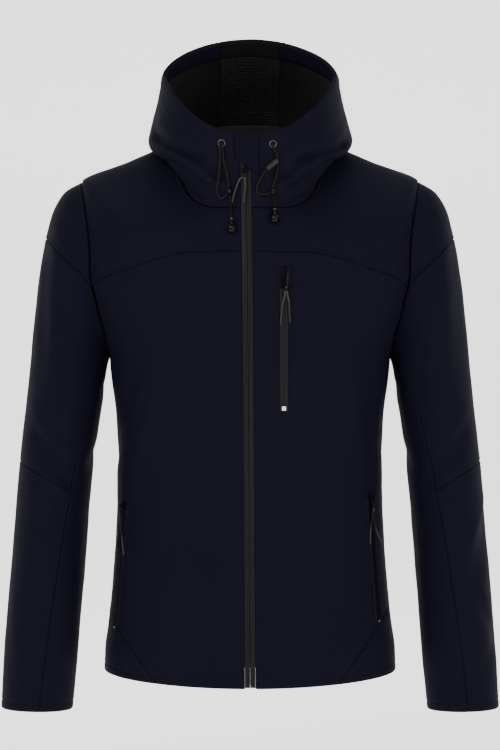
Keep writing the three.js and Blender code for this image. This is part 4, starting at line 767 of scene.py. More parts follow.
def cloth_grid(panel, step):
    """Places of a panel's grid, close together beside its seams."""
    sewn = panel["sewn"]
    at = np.linspace(0, 1, TABLE_STEPS)
    half = TABLE_STEPS // 2
    v0, u0 = np.meshgrid(at, at, indexing="ij")
    place = patch_places(panel, u0, v0)
    points = panel["form"](place[..., 0], place[..., 1])
    across = np.linalg.norm(np.diff(points, axis=1), axis=-1).cumsum(1)
    along = np.linalg.norm(np.diff(points, axis=0), axis=-1).cumsum(0)
    across = np.pad(across, ((0, 0), (1, 0))) + 1e-6 * at
    along = np.pad(along, ((1, 0), (0, 0))) + 1e-6 * at[:, None]
    marks_u = line_marks(across[:, -1], EDGE_STEPS[sewn["left"]], EDGE_STEPS[sewn["right"]], step)
    marks_v = line_marks(along[-1], EDGE_STEPS[sewn["bottom"]], EDGE_STEPS[sewn["top"]], step)
    u_table = np.stack([np.interp(marks_u[j], across[j], at) for j in range(len(at))])
    v_table = np.stack([np.interp(marks_v[i], along[:, i], at) for i in range(len(at))])
    u = np.tile(u_table[half], (marks_v.shape[1], 1))
    v = np.tile(v_table[half][:, None], (1, marks_u.shape[1]))
    for _ in range(TABLE_ROUNDS):
        u = np.stack([np.interp(v[:, i], at, u_table[:, i]) for i in range(u.shape[1])], 1)
        v = np.stack([np.interp(u[j], at, v_table[:, j]) for j in range(v.shape[0])], 0)
    return u, v


def small_waves(points, length):
    """Gentle unevenness of a given wave length, from -1 to 1, the same in each run."""
    k = 2 * math.pi / length
    x, y, z = np.moveaxis(points, -1, 0)
    return (np.sin(k * (0.9 * x + 0.31 * y + 0.42 * z) + 1.3) * np.sin(k * (0.37 * z - 0.61 * y) + 0.4)
            + np.sin(k * 0.62 * (0.8 * z - 0.52 * x + 0.3 * y) + 2.1)) / 2


def fold_height(panel, place, points):
    """Height of the finer creases on whichever form the panel is bent over."""
    form, a, b = panel["form"], place[..., 0], place[..., 1]
    if form is torso:
        return torso_creases(TORSO_FOLDS, a, points)
    if form is hood:
        turn = (a + 180) % 360 - 180
        rows = HOOD_FOLDS
        height = 0
        for shift in (0, 360):
            ends = lambda i: ((rows["turn1"][i] - shift) * HOOD_DEGREE, rows["ring1"][i] * HOOD_RING,
                              (rows["turn2"][i] - shift) * HOOD_DEGREE, rows["ring2"][i] * HOOD_RING)
            chosen = np.ones(len(rows["ring1"]), bool)
            height = height + crease_height(rows, ends, turn * HOOD_DEGREE, b * HOOD_RING, chosen)
        return height
    side = 1 if form is SLEEVES[1] else -1
    return sleeve_creases(SLEEVE_FOLDS, side, a, b)


def length_along(line):
    """The length along a line at each of its points."""
    return np.pad(np.linalg.norm(np.diff(line, axis=0), axis=1).cumsum(), (1, 0))


def run_along(points, axis):
    """The length along each row or column of a grid."""
    step = np.linalg.norm(np.diff(points, axis=axis), axis=-1)
    pad = [(0, 0), (0, 0)]
    pad[axis] = (1, 0)
    return np.pad(step.cumsum(axis), pad)


def cloth_shell(panel, step):
    """A panel's outer and inner points, its lengths across and along, and how near a seam each point is, for
    the painted shade beside the seams.
    """
    u, v = cloth_grid(panel, step)
    place = patch_places(panel, u, v)
    form, outward = panel["form"], panel["outward"]
    step_b = 0.03 if form is hood else 0.3
    base = form(place[..., 0], place[..., 1])
    normal = normal_of(form, place[..., 0], place[..., 1], 0.3, step_b) * outward
    across, along = run_along(base, 1), run_along(base, 0)
    distance = {"left": across, "right": across[:, -1:] - across, "bottom": along, "top": along[-1:] - along}
    folds = fold_height(panel, place, base) + 0.4 * small_waves(base, 96) + 0.16 * small_waves(base, 31)
    sewing, near = np.zeros(u.shape), np.zeros(u.shape)
    for edge, d in distance.items():
        kind = SEWN[panel["sewn"][edge]]
        for at, width, height in kind["humps"]:
            sewing += height * bell(d - at, width)
        if kind["stitch"]:
            puckered = kind["stitch"] * 0.6
            sewing += 0.2 * small_waves(base, 13) * bell(d - puckered, puckered)
        # Nearness to a sewn edge, which the softshell finish turns into painted shade
        if panel["sewn"][edge] != "none":
            near = np.maximum(near, bell(d, SEAM_SHADE))
    sewing = np.maximum(sewing, DEEPEST_SEAM)
    moved = base + normal * folds[..., None]
    drawn = drawn_in(moved, SEAM_INSET)
    return dict(outer=drawn + normal * sewing[..., None], inner=drawn - normal * CLOTH, normal=normal,
                across=across, along=along, near=near, distance=distance)


def drawn_in(grid, gap):
    """A grid with its four edges drawn in a little."""
    moved = grid.copy()
    for edge, beside in ((np.s_[0, :], np.s_[1, :]), (np.s_[-1, :], np.s_[-2, :]),
                         (np.s_[:, 0], np.s_[:, 1]), (np.s_[:, -1], np.s_[:, -2])):
        way = grid[beside] - grid[edge]
        length = np.linalg.norm(way, axis=-1, keepdims=True)
        moved[edge] += way / np.maximum(length, 1e-6) * np.minimum(gap, 0.4 * length)
    return moved


def grid_faces(rows, columns, start=0, flip=False):
    """Faces of a grid of points, numbered from start."""
    at = start + np.arange(rows * columns).reshape(rows, columns)
    quads = np.stack([at[:-1, :-1], at[:-1, 1:], at[1:, 1:], at[1:, :-1]], -1).reshape(-1, 4)
    return quads[:, ::-1] if flip else quads


def shell_faces(rows, columns):
    """Faces of a closed shell: the outer grid, the inner grid behind it, and the narrow edge all round."""
    size = rows * columns
    at = np.arange(size).reshape(rows, columns)
    rim = np.concatenate([at[0, :-1], at[:-1, -1], at[-1, :0:-1], at[:0:-1, 0]])
    after = np.roll(rim, -1)
    edge = np.stack([rim, rim + size, after + size, after], -1)
    return grid_faces(rows, columns), grid_faces(rows, columns, size, True), edge


def mesh_object(name, points, faces, material_of=None):
    """A new mesh object from points in millimetres."""
    mesh = bpy.data.meshes.new(name)
    mesh.from_pydata((np.asarray(points).reshape(-1, 3) * MM).tolist(), [], np.asarray(faces).tolist())
    mesh.polygons.foreach_set("use_smooth", np.ones(len(mesh.polygons), bool))
    if material_of is not None:
        mesh.polygons.foreach_set("material_index", np.asarray(material_of, np.int32))
    obj = bpy.data.objects.new(name, mesh)
    bpy.context.scene.collection.objects.link(obj)
    return obj


def set_uv(obj, uv):
    """Gives each corner the length across and along at its point, in metres."""
    mesh = obj.data
    layer = mesh.uv_layers.new(name="cloth")
    corner = np.empty(len(mesh.loops), np.int32)
    mesh.loops.foreach_get("vertex_index", corner)
    layer.data.foreach_set("uv", (np.asarray(uv)[corner] * MM).astype(np.float32).ravel())


def set_value(obj, name, values):
    attribute = obj.data.attributes.new(name, "FLOAT", "POINT")
    attribute.data.foreach_set("value", np.asarray(values, np.float32).ravel())


def tidy_mesh(obj):
    """Joins doubled points and drops faces without area, as at a pointed end."""
    mesh = bmesh.new()
    mesh.from_mesh(obj.data)
    bmesh.ops.remove_doubles(mesh, verts=mesh.verts, dist=1e-6)
    bmesh.ops.dissolve_degenerate(mesh, edges=mesh.edges, dist=1e-7)
    mesh.to_mesh(obj.data)
    mesh.free()
    return obj


def closed_shell(name, outer, inner, uv, outside, inside, near=None):
    """A closed thin piece of cloth from an outer and an inner grid."""
    rows, columns = outer.shape[:2]
    front, back, edge = shell_faces(rows, columns)
    faces = np.concatenate([front, back, edge])
    material_of = np.repeat([0, 1, 0], [len(front), len(back), len(edge)])
    points = np.concatenate([outer.reshape(-1, 3), inner.reshape(-1, 3)])
    if signed_volume(points, faces) < 0:
        faces = faces[:, ::-1]
    obj = mesh_object(name, points, faces, material_of)
    obj.data.materials.append(outside)
    obj.data.materials.append(inside)
    set_uv(obj, np.concatenate([uv, uv]))
    # Each point's nearness to a seam, kept for the painted shade that the softshell finish puts beside the
    # seams
    if near is not None:
        set_value(obj, "seam_painted_shade", np.concatenate([near.ravel(), near.ravel()]))
    return tidy_mesh(obj)


def signed_volume(points, faces):
    """Above 0 where the faces of a closed mesh look outwards."""
    a, b, c, d = (points[faces[:, k]] for k in range(4))
    return float(np.sum(a * np.cross(b, c)) + np.sum(a * np.cross(c, d)))


# One stitch: a small bar along x, rounded at its ends, a little wider than high
STITCH_LENGTH, STITCH_GAP, STITCH_WIDTH, STITCH_HEIGHT = 2.5, 0.9, 0.62, 0.42
STITCH_SECTIONS = ((-0.5, 0.25, -0.5), (-0.28, 0.9, 0.35), (0.28, 0.9, 0.35), (0.5, 0.25, -0.5))
ROUND = ((1, 0), (0, 1), (-1, 0), (0, -1))
STITCH_RISE, STITCH_CLEAR = 0.12, 1.2
# Faces of a small bar: four sections of four points each, and its two ends
BAR_FACES = np.array([(4 * s + k, 4 * s + (k + 1) % 4, 4 * s + 4 + (k + 1) % 4, 4 * s + 4 + k)
                      for s in range(3) for k in range(4)] + [(3, 2, 1, 0), (12, 13, 14, 15)])
BAR_POINTS = 16


def stitch_run(line, normals):
    """Points of all stitches along a line on the cloth, a row of points for each stitch."""
    along = length_along(line)
    count = int(along[-1] / (STITCH_LENGTH + STITCH_GAP))
    if count < 1:
        return np.empty((0, BAR_POINTS, 3))
    at = (np.arange(count) + 0.5) * along[-1] / count
    read = lambda values, s: np.stack([np.interp(s, along, values[:, k]) for k in range(3)], -1)
    middle = read(line, at)
    ahead = read(line, at + 0.6) - read(line, at - 0.6)
    ahead /= np.maximum(np.linalg.norm(ahead, axis=1, keepdims=True), 1e-9)
    up = read(normals, at)
    aside = np.cross(up, ahead)
    aside /= np.maximum(np.linalg.norm(aside, axis=1, keepdims=True), 1e-9)
    up = np.cross(ahead, aside)
    points = []
    for x, size, lift in STITCH_SECTIONS:
        for across, rise in ROUND:
            height = STITCH_HEIGHT * (lift + rise * size) * 0.5 + STITCH_RISE
            points.append(middle + ahead * x * STITCH_LENGTH + aside * across * size * STITCH_WIDTH / 2
                          + up * height)
    return np.stack(points, 1)


def bars_object(name, points):
    """Many small bars as one mesh, from a row of points for each bar."""
    one = BAR_FACES if signed_volume(points[0], BAR_FACES) >= 0 else BAR_FACES[:, ::-1]
    faces = one[None] + BAR_POINTS * np.arange(len(points))[:, None, None]
    return mesh_object(name, points, faces.reshape(-1, 4))


def sew(group, runs):
    """All stitches of a group of seams as one mesh."""
    points = np.concatenate([stitch_run(line, normals) for line, normals in runs])
    finish_piece(bars_object(f"stitching_{group}", points), "thread", BODY, "softshell")


def seam_lines(panel, shell):
    """The stitch lines of a panel, on its outer face, with the normals under them."""
    runs = []
    outer, normal = shell["outer"], shell["normal"]
    for edge, kind in panel["sewn"].items():
        stitch = SEWN[kind]["stitch"]
        if not stitch:
            continue
        i = EDGE_STEPS[kind].index(stitch)
        pick = {"left": np.s_[:, i], "right": np.s_[:, -1 - i],
                "bottom": np.s_[i, :], "top": np.s_[-1 - i, :]}[edge]
        first, last = ("bottom", "top") if edge in ("left", "right") else ("left", "right")
        clear = np.minimum(shell["distance"][first][pick], shell["distance"][last][pick]) > STITCH_CLEAR
        line, normals = outer[pick][clear], normal[pick][clear]
        if len(line) > 3:
            runs.append((line, normals))
    return runs


# Finishes

FINISH = {}
# The twill's pitch in metres, and how far its grain stands up beside its threads
WEAVE_PITCH, GRAIN = 0.0005, 0.8


def add_node(tree, kind, links=None, **settings):
    """A node with its settings, and its inputs linked from sockets or set to values."""
    made = tree.nodes.new(kind)
    for key, value in settings.items():
        setattr(made, key, value)
    for key, value in (links or {}).items():
        if isinstance(value, bpy.types.NodeSocket):
            tree.links.new(value, made.inputs[key])
        else:
            made.inputs[key].default_value = value
    return made


def plain_finish(name, colour, roughness, **sockets):
    """A material with its own constants on the shader."""
    material = bpy.data.materials.new(name)
    material.use_nodes = True
    shader = material.node_tree.nodes["Principled BSDF"]
    shader.inputs["Base Color"].default_value = (*colour, 1)
    shader.inputs["Roughness"].default_value = roughness
    for socket, value in sockets.items():
        shader.inputs[socket.replace("_", " ").title().replace("Ior", "IOR")].default_value = value
    FINISH[name] = material
    return material.node_tree, shader


def noise(tree, vector, scale, detail=2.0, roughness=0.5):
    made = add_node(tree, "ShaderNodeTexNoise", {"Vector": vector, "Scale": scale, "Detail": detail,
                                                 "Roughness": roughness})
    return made.outputs["Fac"]


def maths(tree, operation, a, b=0.0, clamp=False):
    made = add_node(tree, "ShaderNodeMath", {0: a, 1: b}, operation=operation, use_clamp=clamp)
    return made.outputs[0]


def two_tone(tree, shader, factor, dark, light):
    """The base colour runs from dark to light with a factor."""
    ramp = add_node(tree, "ShaderNodeValToRGB", {"Fac": factor})
    ramp.color_ramp.elements[0].color = (*dark, 1)
    ramp.color_ramp.elements[1].color = (*light, 1)
    tree.links.new(ramp.outputs["Color"], shader.inputs["Base Color"])


def bump(tree, shader, height, distance, strength=1.0):
    made = add_node(tree, "ShaderNodeBump", {"Height": height, "Distance": distance, "Strength": strength})
    tree.links.new(made.outputs["Normal"], shader.inputs["Normal"])


def uneven_roughness(tree, shader, factor, low, high):
    made = add_node(tree, "ShaderNodeMapRange", {"Value": factor, "To Min": low, "To Max": high})
    tree.links.new(made.outputs["Result"], shader.inputs["Roughness"])


def weave(tree, vector, pitch):
    """A fine twill: two bands of threads across each other."""
    height = []
    for axis, turn in (("X", 0.3), ("Y", -0.3)):
        place = add_node(tree, "ShaderNodeMapping", {"Vector": vector, "Rotation": (0, 0, turn)})
        band = add_node(tree, "ShaderNodeTexWave", {"Vector": place.outputs[0], "Scale": 1 / (pitch * 3.2)},
                        bands_direction=axis)
        height.append(band.outputs["Fac"])
    return maths(tree, "MULTIPLY", *height)


def cloth_finish(name, dark, light):
    """Bonded softshell: a tight matt face with a faint sheen, and painted shade that darkens it a little
    beside its seams.
    """
    tree, shader = plain_finish(name, dark, 0.7, sheen_weight=0.01, sheen_roughness=0.4,
                                sheen_tint=(0.30, 0.36, 0.55, 1), specular_ior_level=0.035)
    uv = add_node(tree, "ShaderNodeUVMap", uv_map="cloth").outputs["UV"]
    place = add_node(tree, "ShaderNodeTexCoord").outputs["Object"]
    broad = noise(tree, place, 9.0, 3.0)
    fine = noise(tree, uv, 900.0, 2.0)
    # Painted shade: the cloth is darkened beside its seams, by its nearness to them
    seam = add_node(tree, "ShaderNodeAttribute", attribute_name="seam_painted_shade").outputs["Fac"]
    tone = maths(tree, "ADD", maths(tree, "MULTIPLY", broad, 0.62), maths(tree, "MULTIPLY", fine, 0.34))
    tone = maths(tree, "ADD", tone, maths(tree, "MULTIPLY", seam, -0.16), clamp=True)
    two_tone(tree, shader, tone, dark, light)
    uneven_roughness(tree, shader, fine, 0.62, 0.82)
    threads = weave(tree, uv, WEAVE_PITCH)
    bump(tree, shader, maths(tree, "ADD", threads, maths(tree, "MULTIPLY", fine, GRAIN)), 0.00012, 0.6)


def fleece_finish(name, dark, light, pile):
    """A short brushed pile."""
    tree, shader = plain_finish(name, dark, 0.95, sheen_weight=0.08, sheen_roughness=0.6,
                                sheen_tint=(0.3, 0.3, 0.32, 1), specular_ior_level=0.05)
    place = add_node(tree, "ShaderNodeTexCoord").outputs["Object"]
    tufts = noise(tree, place, 1 / pile, 3.0, 0.7)
    broad = noise(tree, place, 30.0, 2.0)
    tone = maths(tree, "MULTIPLY", maths(tree, "ADD", tufts, broad), 0.5)
    two_tone(tree, shader, tone, dark, light)
    bump(tree, shader, tufts, 0.0009)


def moulded_finish(name, dark, light, roughness, **sockets):
    """Moulded or coated pieces, with faint unevenness."""
    tree, shader = plain_finish(name, dark, roughness, **sockets)
    place = add_node(tree, "ShaderNodeTexCoord").outputs["Object"]
    speck = noise(tree, place, 600.0, 3.0)
    two_tone(tree, shader, speck, dark, light)
    uneven_roughness(tree, shader, noise(tree, place, 180.0), roughness * 0.75, roughness * 1.3)
    bump(tree, shader, speck, 0.00004, 0.5)


def laminate_finish(name, dark, light, shine):
    """The zip's smooth coated tape, with fine lines along it where the coil lies underneath."""
    tree, shader = plain_finish(name, dark, 0.42, specular_ior_level=shine)
    uv = add_node(tree, "ShaderNodeUVMap", uv_map="cloth").outputs["UV"]
    lines = add_node(tree, "ShaderNodeTexWave", {"Vector": uv, "Scale": 260.0}, bands_direction="Y")
    coil = lines.outputs["Fac"]
    speck = noise(tree, uv, 700.0, 3.0)
    two_tone(tree, shader, speck, dark, light)
    uneven_roughness(tree, shader, speck, 0.34, 0.55)
    bump(tree, shader, maths(tree, "ADD", coil, speck), 0.00006, 0.5)


def braid_finish(name, dark, light):
    """Braided cord: the strands stand up in the mesh, and its colour follows them: lighter on the raised
    crests, partly the cord's own light threads and partly painted highlight, with painted shade in the
    grooves.
    """
    tree, shader = plain_finish(name, dark, 0.8, sheen_weight=0.015, sheen_roughness=0.4,
                                specular_ior_level=0.08)
    uv = add_node(tree, "ShaderNodeUVMap", uv_map="cloth").outputs["UV"]
    # Colour from the relief's height: the cord's own light threads, with painted highlight on the crests and
    # painted shade in the grooves
    crest_fleck_and_shade = add_node(tree, "ShaderNodeAttribute", attribute_name="raised").outputs["Fac"]
    fibre = noise(tree, uv, 2600.0, 2.0)
    tone = maths(tree, "MULTIPLY", crest_fleck_and_shade, maths(tree, "ADD", fibre, 0.5), clamp=True)
    two_tone(tree, shader, tone, dark, light)
    bump(tree, shader, fibre, 0.00008)


def make_finishes(settings):
    """All finishes. The cloth's are shades of one colour."""
    navy = tuple(settings.navy)
    shade = lambda share: tuple(share * value for value in navy)
    cloth_finish("softshell", shade(0.72), navy)
    cloth_finish("softshell_trim", shade(0.6), shade(0.85))
    # The hood's side facings: a lighter copy of the softshell, painted light in place of the shade inside the
    # hood's rim
    cloth_finish("softshell_facing_painted_light", shade(1.15), shade(1.7))
    fleece_finish("fleece", (0.0044, 0.0037, 0.0039), (0.0120, 0.0101, 0.0105), 0.0016)
    fleece_finish("facing_black", (0.0026, 0.0022, 0.0023), (0.0062, 0.0053, 0.0055), 0.0011)
    # The hood's knitted mesh: far lighter than the facing's black, painted light to make up for the shade
    # between its strands
    fleece_finish("knit_black_painted_light", (0.022, 0.0185, 0.0192), (0.046, 0.0392, 0.0405), 0.0008)
    laminate_finish("zip_laminate", (0.0045, 0.0043, 0.0044), (0.0085, 0.0082, 0.0083), 0.08)
    # A darker copy of the zip tape for the hand pockets, painted shade for the recess that they sit in
    laminate_finish("zip_laminate_painted_shade", (0.0012, 0.0011, 0.0012), (0.0026, 0.0024, 0.0025), 0.03)
    moulded_finish("thread", shade(0.7), shade(1.3), 0.6, specular_ior_level=0.12)
    moulded_finish("moulded_black", (0.0012, 0.0012, 0.0013), (0.0026, 0.0026, 0.0026), 0.3,
                   specular_ior_level=0.05)
    moulded_finish("gloss_black", (0.0015, 0.0014, 0.0013), (0.003, 0.0028, 0.0025), 0.1,
                   specular_ior_level=0.13)
    moulded_finish("gunmetal", (0.035, 0.033, 0.030), (0.075, 0.070, 0.064), 0.32, metallic=1.0)
    moulded_finish("lock_taupe", (0.008, 0.0072, 0.0055), (0.016, 0.0145, 0.011), 0.45,
                   specular_ior_level=0.16)
    moulded_finish("pull_grey", (0.012, 0.012, 0.0118), (0.025, 0.0245, 0.024), 0.4, specular_ior_level=0.16)
    moulded_finish("reflective", (0.60, 0.60, 0.59), (0.78, 0.78, 0.77), 0.28)
    moulded_finish("reflective_dim", (0.10, 0.10, 0.098), (0.16, 0.16, 0.157), 0.3)
    moulded_finish("zip_coil", (0.004, 0.004, 0.0042), (0.009, 0.009, 0.009), 0.4, specular_ior_level=0.2)
    braid_finish("pull_cord", (0.001, 0.001, 0.001), (0.070, 0.068, 0.066))
    braid_finish("pull_cord_deep", (0.001, 0.001, 0.001), (0.016, 0.0155, 0.015))
    braid_finish("drawcord", (0.002, 0.0018, 0.0014), (0.0125, 0.0110, 0.0085))
    braid_finish("tail_cord", (0.0012, 0.0011, 0.0010), (0.0075, 0.0067, 0.0055))


# Cords

PULL_CORDS = {
    "main_pull_cord_1": ((-12, -57, 4.4), (-15, -63, 3.6), (-18, -71, 3), (-20.6, -80, 2.4),
                         (-22, -86, 1.8)),
    "main_pull_cord_2": ((-6.2, -57, 5), (-5.8, -64, 4.2), (-6.2, -72, 3.4), (-7.4, -81, 2.6),
                         (-8, -87, 2.2)),
    "chest_pull_cord_1": ((42.8, -206, 4.8), (41, -212, 4), (39.6, -221, 3.3), (38.6, -231, 2.9),
                          (37.9, -240, 2.7)),
    "chest_pull_cord_2": ((46.8, -206, 4.6), (48.2, -211, 3.6), (48.6, -219, 2.8), (49, -228, 2.2),
                          (49.4, -237, 1.7)),
    "hand_left_pull_cord_1": ((152.2, -488, 4.4), (151.6, -494, 3.4), (151.4, -501, 2.6), (151.6, -509, 2),
                              (152, -518, 1.6)),
    "hand_left_pull_cord_2": ((154.8, -488, 4.4), (156.4, -494, 3.4), (158.6, -501, 2.8),
                              (161.8, -509, 2.6),
                              (165.8, -518, 2.6)),
    "hand_right_pull_cord_1": ((-163.8, -499, 4.4), (-165.4, -505, 3.6), (-167, -511, 3),
                               (-168.4, -517, 2.6),
                               (-169.4, -525.5, 2.4)),
    "hand_right_pull_cord_2": ((-161.4, -500, 4.4), (-161.2, -507, 3.2), (-161.2, -515, 2.4),
                               (-160.6, -523, 1.9),
                               (-159.8, -532, 1.6)),
}
DRAWCORDS = {
    "drawcord_right": ((-34.3, -11.2, 1.6), (-34.2, -13.4, 2.8), (-34, -18, 3.4), (-33.4, -26, 3),
                       (-32.4, -34, 2.8),
                       (-30.6, -42, 2.6), (-28.4, -50, 2.5), (-27.2, -57, 2.5), (-26.6, -63, 2.8),
                       (-26.4, -68.4, 3.6)),
    "drawcord_right_back": ((-28.8, -76.4, 3.6), (-31.6, -79.6, 2.8), (-35.6, -80.4, 2.3), (-39, -77, 2.2),
                            (-40.2, -70, 2.2), (-39.8, -61, 2.3), (-38.6, -51, 2.5), (-37.8, -42, 2.7),
                            (-37.3, -32, 2.9), (-37.1, -23, 3.2), (-37, -17.6, 3.4), (-37, -13.6, 2.8),
                            (-36.9, -11.4, 1.6)),
    "cord_tail_right": ((-24.8, -78.2, 3.7), (-24.2, -84, 3.4), (-23.6, -92, 3.4), (-23.2, -100, 3.6),
                        (-22.6, -106.4, 4.6)),
    "drawcord_left": ((27.6, -12.4, 1.6), (28.4, -15.6, 2.9), (30.6, -21, 3.4), (33.4, -26.4, 3),
                      (34.6, -33, 2.7),
                      (34.2, -42, 2.6), (33, -51, 2.5), (31, -59, 2.4), (28.6, -65, 2.6), (28, -68.4, 3.2)),
    "drawcord_left_back": ((24.3, -75.2, 3.3), (18, -76.6, 2.6), (11.8, -76, 2.4), (8.4, -73, 2.4),
                           (8.4, -67.6, 2.5),
                           (11.4, -60, 3), (16, -51.6, 5), (19.6, -46.4, 7.6)),
    "cord_tail_left": ((28.4, -79.6, 3.2), (29.6, -85, 3), (30, -90, 3.2), (30, -94.6, 4.4)),
}
# Where each slider sits, its size and its pull tab's: the same as the part's own
SLIDERS = {
    "main": dict(x=-6.4, z=-45.4, lift=0.2, tab_length=6.8, knot=1.5, body="pull_main"),
    "chest": dict(x=44.6, z=-175.0, lift=2.0, tab_length=20.0, knot=2.0, body="pull_chest"),
    "hand_left": dict(x=152.0, z=-460.0, lift=1.8, tab_length=13.4, knot=1.9, body="pull_hand_left"),
    "hand_right": dict(x=-160.0, z=-470.0, lift=1.8, tab_length=13.4, knot=1.9, body="pull_hand_right"),
}
SLIDER_HEIGHT, WINDOW_LENGTH, WINDOW_HEIGHT, BAR = 2.6, 3.4, 1.6, 1.0
LAYER_GAP = 0.3
LEAST_CORD = 0.03


def seat(x, z, lift=0.0):
    """A place on the front in millimetres: x across, y up the cloth and z outwards."""
    form, a, b = front_place(x, z)
    out = normal_of(form, a, b, 0.5, 0.05 if form is hood else 1.0)
    across = np.cross((0, 0, 1), out)
    across /= np.linalg.norm(across)
    up = np.cross(out, across)
    return dict(point=form(a, b) + out * lift, across=across, up=up, out=out)


def pivot_of(name):
    """The bar that a pull tab hangs from."""
    at = SLIDERS[name]
    where = seat(at["x"], at["z"], at["lift"])
    height = SLIDER_HEIGHT + 0.3 + WINDOW_HEIGHT / 2
    back = WINDOW_LENGTH / 2 - BAR / 2 - 0.2
    where["point"] = where["point"] + where["out"] * height - where["up"] * back
    return where


def cord_start(name, strand):
    """Where a strand leaves the knot of its pull tab."""
    at, where = SLIDERS[name], pivot_of(name)
    end = BAR / 2 - at["tab_length"] - 1.5 * at["knot"] - LAYER_GAP - 0.05
    return where["point"] + where["up"] * end + where["across"] * 1.125 * (-1 if strand == 1 else 1)


def smooth_route(points, step):
    """A centripetal curve through points, as points a step apart."""
    points = np.asarray(points, float)
    points = np.concatenate([[2 * points[0] - points[1]], points, [2 * points[-1] - points[-2]]])
    gaps = np.maximum(np.linalg.norm(np.diff(points, axis=0), axis=1) ** 0.5, 1e-4)
    line = []
    t = np.linspace(0, 1, 40)[:, None]
    for i in range(1, len(points) - 2):
        p0, p1, p2, p3 = points[i - 1:i + 3]
        d0, d1, d2 = gaps[i - 1:i + 2]
        m1 = ((p1 - p0) / d0 - (p2 - p0) / (d0 + d1) + (p2 - p1) / d1) * d1
        m2 = ((p2 - p1) / d1 - (p3 - p1) / (d1 + d2) + (p3 - p2) / d2) * d1
        piece = ((2 * t**3 - 3 * t**2 + 1) * p1 + (t**3 - 2 * t**2 + t) * m1
                 + (3 * t**2 - 2 * t**3) * p2 + (t**3 - t**2) * m2)
        line.append(piece if i == 1 else piece[1:])
    line = np.concatenate(line)
    along = length_along(line)
    at = np.linspace(0, along[-1], max(8, int(along[-1] / step)) + 1)
    return np.stack([np.interp(at, along, line[:, k]) for k in range(3)], -1), at


def frames_along(line):
    """Two directions across a line at each of its points, without twist."""
    ahead = np.gradient(line, axis=0)
    ahead /= np.linalg.norm(ahead, axis=1, keepdims=True)
    side = np.cross(ahead[0], (0.0, 1.0, 0.1))
    sides = []
    for way in ahead:
        side = side - way * (side @ way)
        side = side / np.linalg.norm(side)
        sides.append(side)
    sides = np.array(sides)
    return sides, np.cross(ahead, sides)


def tube(name, line, along, radius, sides, material, relief=None):
    """A closed tube along a line. radius is a number or one for each point, and relief raises its surface."""
    first, second = frames_along(line)
    turn = 2 * math.pi * np.arange(sides) / sides
    radius = np.broadcast_to(np.asarray(radius, float), (len(line),))
    raised = relief(turn[None, :], along[:, None]) if relief else np.zeros((len(line), sides))
    reach = radius[:, None] + raised
    rings = line[:, None] + reach[..., None] * (
        np.cos(turn)[None, :, None] * first[:, None] + np.sin(turn)[None, :, None] * second[:, None])
    count = len(line)
    points = np.concatenate([rings.reshape(-1, 3), line[:1], line[-1:]])
    at = np.arange(count * sides).reshape(count, sides)
    after = np.roll(at, -1, axis=1)
    faces = np.stack([at[:-1], after[:-1], after[1:], at[1:]], -1).reshape(-1, 4).tolist()
    faces += [(count * sides, int(after[0, k]), int(at[0, k])) for k in range(sides)]
    faces += [(count * sides + 1, int(at[-1, k]), int(after[-1, k])) for k in range(sides)]
    mesh = bpy.data.meshes.new(name)
    mesh.from_pydata((points * MM).tolist(), [], faces)
    mesh.polygons.foreach_set("use_smooth", np.ones(len(mesh.polygons), bool))
    obj = bpy.data.objects.new(name, mesh)
    bpy.context.scene.collection.objects.link(obj)
    uv = np.stack([np.broadcast_to(along[:, None], at.shape),
                   np.broadcast_to(turn * radius[:, None], at.shape)], -1)
    set_uv(obj, np.concatenate([uv.reshape(-1, 2), [[0, 0], [along[-1], 0]]]))
    # The share of each point's relief height, from which the braid finish paints lighter crests and painted
    # shade in the grooves
    share = (raised - raised.min()) / max(np.ptp(raised), 1e-9)
    set_value(obj, "raised", np.concatenate([share.ravel(), [0.5, 0.5]]))
    obj.data.materials.append(material)
    mesh.validate()
    outward(obj)
    return obj


def outward(obj):
    """Turns the faces of a closed mesh outwards."""
    mesh = bmesh.new()
    mesh.from_mesh(obj.data)
    bmesh.ops.recalc_face_normals(mesh, faces=mesh.faces)
    mesh.to_mesh(obj.data)
    mesh.free()


def twist(diameter):
    """Relief of a cord twisted from two strands."""
    pitch = 2 * math.pi / (1.9 * diameter)
    return lambda turn, along: 0.09 * diameter * np.sin(2 * turn + pitch * along)


def braid(diameter):
    """Relief of a braided cord: crossing strands that run round it both ways."""
    pitch = 2 * math.pi / (1.5 * diameter)
    rise = 0.045 * diameter
    return lambda turn, along: rise * np.sin(3 * turn + pitch * along) * np.sin(3 * turn - pitch * along)


CORD_STEP, CORD_SIDES = 0.3, 18


def make_cord(name, points, diameter, finish, body, declared, relief, shade=None):
    """A cord through points, noted with its path and length. Its shade may differ from its slot's finish."""
    line, along = smooth_route(points, CORD_STEP)
    piece = tube(name + "_braid", line, along, diameter / 2, CORD_SIDES,
                 FINISH[shade or finish], relief(diameter))
    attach(piece, body)
    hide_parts(name)
    declared[name] = dict(piece=piece, path=line, length=float(along[-1]), diameter=diameter)


# A pull's lower half is covered by a smooth sleeve, from a share of its length to just past its end
SLEEVE_FROM, SLEEVE_DIAMETER, SLEEVE_PAST = 0.46, 2.35, 0.6
SLEEVE_ROUND, SLEEVE_LEAST = 0.9, 0.25


def cover_strand(name, made, body):
    path = made["path"]
    start = int(SLEEVE_FROM * len(path))
    tip = path[-1] + (path[-1] - path[-2]) / np.linalg.norm(path[-1] - path[-2]) * SLEEVE_PAST
    line = np.concatenate([path[start:], [tip]])
    along = length_along(line)
    end = np.minimum(along, along[-1] - along)
    round_end = np.sqrt(np.clip(1 - (1 - np.minimum(end / SLEEVE_ROUND, 1)) ** 2, SLEEVE_LEAST, 1))
    cover = tube(name + "_sleeve", line, along, SLEEVE_DIAMETER / 2 * round_end, 20, FINISH["pull_grey"])
    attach(cover, body)
    return cover


